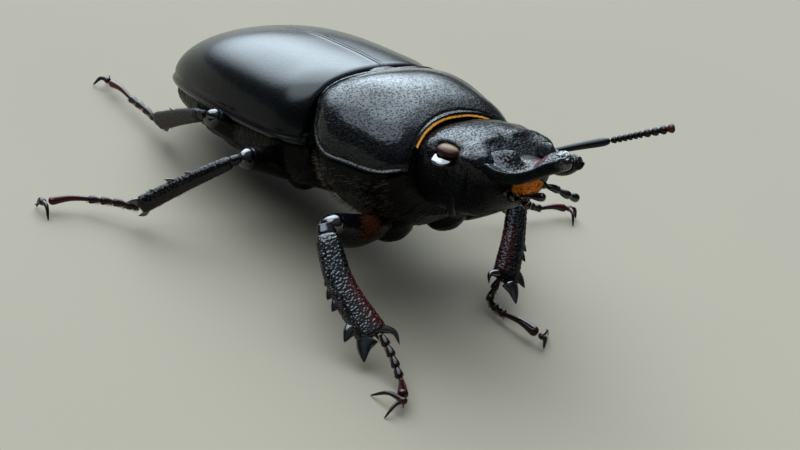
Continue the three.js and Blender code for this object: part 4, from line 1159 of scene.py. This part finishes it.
class Leg:
    """The joints of one leg as arrays, the ways that its shin looks, and the routes of its thigh and shin."""

    def __init__(self, plan):
        self.kind = KINDS[plan["kind"]]
        self.fore = plan["kind"] == "fore"
        self.dull = plan["dull"]
        self.socket, self.knee, self.ankle, self.arch, self.sole, self.toe, self.edge = (
            np.array(plan[key]) for key in ("hip", "knee", "ankle", "arch", "sole", "toe", "edge"))
        self.hip = trunk_to_floor(self.socket)
        self.claws = [np.array([x, y, 0.0]) for x, y in plan["claws"]]
        self.down = unit(self.ankle - self.knee)
        self.out = unit(self.edge - self.down * self.edge.dot(self.down))
        self.end = self.ankle + self.out * self.kind["heel"]
        self.shin = [self.knee, (self.knee + self.end) / 2 + self.out * plan["bow"], self.end]
        start = self.hip + (self.knee - self.hip) * 0.1
        self.thigh = [start, (start + self.knee) / 2 + [0, 0, plan["sag"]], self.knee]

    def shin_width(self, t):
        """Half width of the shin, before its neck and its end."""
        narrow, wide = self.kind["tibia"]
        return narrow + (wide - narrow) * t


def coxa(leg):
    """The hip: an egg level with the trunk, pitted."""
    rings = ball((0, 0, 0), leg.kind["coxa"], 36, 48)
    rings = raised(rings, -0.05 * pits(rings, 0.3, 51), wrap=True)
    return tube(trunk_to_floor(rings + leg.socket))


def thigh_rings(leg):
    """Sections of the thigh: fullest in its middle, with a seam near the hip and a rounded knee of two
    lobes."""
    a, b = leg.kind["femur"]
    swell = lambda t: (0.62 + 0.38 * np.sin(np.pi * clamp01(t * 1.05)) ** 0.8) \
        * np.where(t > 0.9, rounded_end((t - 0.9) / 0.105, 2.2, 2), 1.0)
    lobes = lambda t, angle: 1 + 0.06 * smooth(0.86, 0.94, t) * np.cos(2 * angle) - 0.10 * hump(t, 0.10, 0.02)
    return spindle(leg.thigh, leg.edge, lambda t: a * swell(t), lambda t: b * swell(t), steps=90, count=64,
                   boxiness=2.15, bulge=lobes)


def femur(leg):
    """The thigh: dull and pitted, with a groove before its glossy knee."""
    rings = thigh_rings(leg)
    t = shares(90)
    knee = smooth(0.84, 0.92, t)
    height = -0.015 * (1 - knee) * pits(rings, 0.26, 53) - 0.05 * hump(t, 0.88, 0.012)
    return sculpted(rings, height, gloss=0.75 * knee, matt=0.9 * (1 - knee))


def tooth(root, tip, side, wide, thick, bend, **marks):
    """A pointed spine from root to tip, flattened across side, its middle moved by bend."""
    taper = lambda t: (1 - t) ** 0.8 + 0.02
    return tube(spindle([root, (root + tip) / 2 + bend, tip], side, lambda t: wide * taper(t),
                        lambda t: thick * taper(t), steps=16, count=14), **marks)


def shin_teeth(leg):
    """The teeth along the outer edge of the shin, the last one pointing more towards the foot."""
    skins = []
    for at, length, base in leg.kind["teeth"]:
        width = leg.shin_width(at)
        root = route(leg.shin, np.array([at]))[0][0] + leg.out * width * 0.35
        reach = width * 0.62 + 0.85 * length
        last = at > 0.9
        tip = root + leg.out * reach * (1 - 0.4 * last) + leg.down * reach * (0.45 + 0.4 * last)
        bend = -leg.down * 0.22 * length
        skins.append(tooth(root, tip, leg.down, base * 1.5, base * 0.75, bend, gloss=0.3))
    return skins


def shin_spurs(leg):
    """A long and a short spur inside the end of the shin, curving towards the foot."""
    across = 0.12 * np.cross(leg.down, leg.out)
    skins = []
    for place, size in ((0.6, 1.0), (-0.1, 0.45)):
        spur = leg.kind["spur"] * size
        root = leg.end - leg.out * leg.kind["tibia"][1] * place - leg.down * 0.3
        tip = root - leg.out * spur * 0.4 + leg.down * spur * 0.9
        bend = (root - leg.out * spur * 0.42 + leg.down * spur * 0.35) - (root + tip) / 2
        skins.append(tooth(root, tip + across, leg.out, 0.28 * size + 0.05, 0.24 * size + 0.05, bend,
                           gloss=0.4, red=0.05))
    return skins


def tibia(leg):
    """The shin: flat, widening to its end, granular, with two low keels down each face, teeth along its outer
    edge, red along its inner one, and two spurs inside its end."""
    steps, count, coarse = (300, 120, 0.04) if leg.fore else (220, 90, 0.02)
    neck = lambda t: np.minimum(1, 0.62 + 2.6 * t) * rounded_end((t - 0.93) / 0.075, 3, 2)
    keels = lambda t, angle: 1 + 0.08 * smooth(0.1, 0.2, t) * (hump(np.cos(angle), 0.35, 0.16)
                                                              + hump(np.cos(angle), -0.55, 0.14))
    rings = spindle(leg.shin, leg.out, lambda t: leg.shin_width(t) * neck(t) + 0.01,
                    lambda t: leg.kind["thick"] * neck(t) + 0.01, steps=steps, count=count, bulge=keels)
    t = shares(steps)
    granular = smooth(0.08, 0.14, t) * smooth(1.0, 0.95, t)
    height = coarse * granular * (pits(rings, 0.18, 57) - 0.5) - 0.06 * hump(t, 0.085, 0.012)
    inner = smooth(0.15, -0.75, np.cos(turns(count))) * smooth(0.35, 0.6, t) * smooth(1.0, 0.92, t)
    skin = sculpted(rings, height, red=0.34 * inner, gloss=0.7 * smooth(0.09, 0.07, t),
                    matt=np.maximum(leg.dull, 0.55 * inner))
    return [skin, *shin_teeth(leg), *shin_spurs(leg)]


def foot(leg):
    """Four short heart-shaped segments and a long slender fifth that widens to the claws. It is red, less so
    on the fore legs."""
    start = leg.ankle + (leg.arch - leg.ankle) * leg.kind["thick"] * 0.1
    flare = lambda u, angle: 1 + 0.22 * smooth(0.3, 0.9, u) * hump(np.cos(angle), -0.6, 0.5)
    skins = chain([start, leg.arch, leg.sole], np.linspace(0, 1, 5), lambda t: 0.29, neck=0.42, fullest=0.8,
                  bulge=flare, count=20, red=0.15, gloss=0.3)
    arched = (leg.sole + leg.toe) / 2 + [0, 0, 0.16]
    swell = lambda t: (0.15 + leg.kind["knob"] * t ** 1.5) * rounded_end((t - 0.86) / 0.15, 2, 2) + 0.02
    last = spindle([leg.sole, arched, leg.toe], (0, 0, 1), swell, steps=40, count=22)
    red = (0.35 + 0.6 * smooth(0.05, 0.5, shares(40))) * (0.4 if leg.fore else 1.0)
    return skins + [tube(last, red=red, gloss=0.7)]


def claw_pair(leg):
    """Two hooks with pointed tips on the floor, the knuckle they share, and a short peg between them."""
    forward = unit(leg.toe - leg.sole)
    root = leg.toe + forward * 0.42
    skins = [tube(ball(root, (0.28, 0.28, 0.26), 16, 20), red=0.4, gloss=0.6)]
    for tip in leg.claws:
        knuckle = root + (tip - root) * 0.5 + [0, 0, 0.42]
        hook = spindle([root, knuckle, tip + [0, 0, 0.06]], (0, 0, 1), lambda t: 0.17 * (1 - t) ** 0.6 + 0.03,
                       lambda t: 0.15 * (1 - t) ** 0.6 + 0.03, steps=28, count=18)
        skins.append(tube(hook, red=0.5 - 0.5 * shares(28), gloss=0.7))
    peg = spindle([root, root + forward * 0.3 - [0, 0, 0.1], root + forward * 0.5 - [0, 0, 0.2]], (0, 0, 1),
                  lambda t: 0.08 - 0.04 * t, steps=8, count=10)
    return skins + [tube(peg)]


def shin_bristles(leg):
    """Sparse stiff bristles down both edges of the shin, pointing to the foot."""
    rings = spindle(leg.shin, leg.out, lambda t: leg.shin_width(t) * 0.9, lambda t: leg.kind["thick"] * 0.85,
                    steps=60, count=40)
    where = smooth(0.15, 0.4, shares(60)) * np.abs(np.cos(turns(40))) ** 4
    return fur(rings, where, 130, leg.down * 1.2, 0.36, 0.012, lift=0.6)


def foot_hairs(leg):
    """Golden pads under the short segments of the foot, and a few bristles over them."""
    rings = spindle([leg.ankle, leg.arch, leg.sole], (0, 0, 1), lambda t: 0.16, steps=48, count=16)
    below = smooth(0.3, -0.6, outward(rings, wrap=True)[..., 2])
    ends = 0.15 + np.cos(4 * np.pi * shares(48) - 0.6) ** 2
    lean = unit(leg.sole - leg.ankle) - [0, 0, 0.5]
    return fur(rings, ends * (0.1 + below), 260, lean, 0.34, 0.014, lift=0.5)


def thigh_patch(leg):
    """The oval patch of rust hairs on the front of a fore thigh, combed towards the knee."""
    rings = thigh_rings(leg)
    ahead = outward(rings, wrap=True) @ np.array([-0.12, -0.8, 0.58])
    oval = 1 - ((shares(90) - 0.40) / 0.25) ** 2 - ((1 - ahead) / 0.55) ** 2
    return fur(rings, np.maximum(oval, 0) ** 3, 1000, unit(leg.knee - leg.hip), 0.42, 0.018, lift=0.45)


for name, plan in LEGS.items():
    leg = Leg(plan)
    piece(f"coxa_{name}_hip", [coxa(leg)], BELLY_SHELL, "leg", f"coxa_{name}")
    piece(f"femur_{name}_thigh", [femur(leg)], LEG, "leg", f"femur_{name}")
    piece(f"tibia_{name}_shin", tibia(leg), LEG, "leg", f"tibia_{name}")
    piece(f"tarsus_{name}_foot", foot(leg), FOOT, "foot", f"tarsus_{name}")
    piece(f"claws_{name}_hooks", claw_pair(leg), FOOT, "foot", f"claws_{name}")
    hairs = [(f"tibia_{name}_bristles", shin_bristles, BRISTLE),
             (f"tarsus_{name}_pads", foot_hairs, RUST_HAIR)]
    if leg.fore:
        hairs.append((f"femur_{name}_patch", thigh_patch, RUST_HAIR))
    for hair_name, grown, finish in hairs:
        skin, hair_map = grown(leg)
        piece(hair_name, [skin], finish, "brush", uv=hair_map)


# ---------------------------------------------------------------- studio
CAMERA = {"azimuth": -50.6, "elevation": 27.2, "roll": 18.0, "distance": 140.0, "lens": 90.2,
          "target": (-2.12, -10.85, 5.0)}
# Bright patches of the sky as (azimuth, elevation, half width, softness of the edge) in degrees and a share
# of the glow, and the colours of the glow and of the dim rest.
SKY_PATCHES = ((161, 46, 31, 18, 1.0), (232, 60, 28, 8, 0.55), (330, 70, 30, 25, 0.03))
SKY_GLOW = (6.2, 7.4, 8.3, 1)
SKY_DIM = (0.05, 0.055, 0.06, 1)
FLOOR_HALF = 1.5   # in metres


def direction(azimuth, elevation):
    """The way to a point of the sky in degrees: azimuth 0 is ahead of the beetle, 90 to its left."""
    a, e = np.radians(azimuth), np.radians(elevation)
    return np.array([np.sin(a) * np.cos(e), -np.cos(a) * np.cos(e), np.sin(e)])


def camera():
    """A long lens at the given distance from its target, rolled about its own axis."""
    back = direction(CAMERA["azimuth"], CAMERA["elevation"])
    level = direction(CAMERA["azimuth"] + 90, 0)
    upright = np.cross(back, level)
    roll = np.radians(CAMERA["roll"])
    right = np.cos(roll) * level + np.sin(roll) * upright
    up = np.cos(roll) * upright - np.sin(roll) * level
    data = bpy.data.cameras.new("camera")
    data.sensor_width, data.lens = 36.0, CAMERA["lens"]
    data.clip_start, data.clip_end = 0.01, 10.0
    made = bpy.data.objects.new("camera", data)
    turn = Matrix(np.stack([right, up, back], 1).tolist()).to_4x4()
    at = (np.array(CAMERA["target"]) + back * CAMERA["distance"] - CENTRE) * MM
    made.matrix_world = Matrix.Translation(at.tolist()) @ turn
    bpy.context.scene.collection.objects.link(made)
    bpy.context.scene.camera = made


def sky():
    """A dim room with soft-edged bright patches of sky."""
    world = bpy.data.worlds.new("studio")
    world.use_nodes = True
    tree = world.node_tree
    way = node(tree, "TexCoord").outputs["Generated"]
    light = 0.0
    for azimuth, elevation, half, edge, share in SKY_PATCHES:
        patch = direction(azimuth, elevation).tolist()
        near = node(tree, "VectorMath", {"operation": "DOT_PRODUCT"}, (way, patch)).outputs["Value"]
        outer, inner = (float(np.cos(np.radians(half + step))) for step in (edge, -edge))
        light = math(tree, "MAXIMUM", light, times(tree, soft_step(tree, near, outer, inner), share))
    tree.links.new(blended(tree, light, SKY_DIM, SKY_GLOW), tree.nodes["Background"].inputs["Color"])
    bpy.context.scene.world = world


def floor():
    """A square of floor about the beetle."""
    corners = [(x * FLOOR_HALF, y * FLOOR_HALF, 0) for x, y in ((-1, -1), (1, -1), (1, 1), (-1, 1))]
    mesh = bpy.data.meshes.new("floor")
    mesh.from_pydata(corners, [], [(0, 1, 2, 3)])
    mesh.materials.append(FLOOR_FINISH)
    made = bpy.data.objects.new("floor", mesh)
    bpy.context.scene.collection.objects.link(made)


camera()
floor()
sky()
bpy.context.scene.view_settings.view_transform = "Standard"
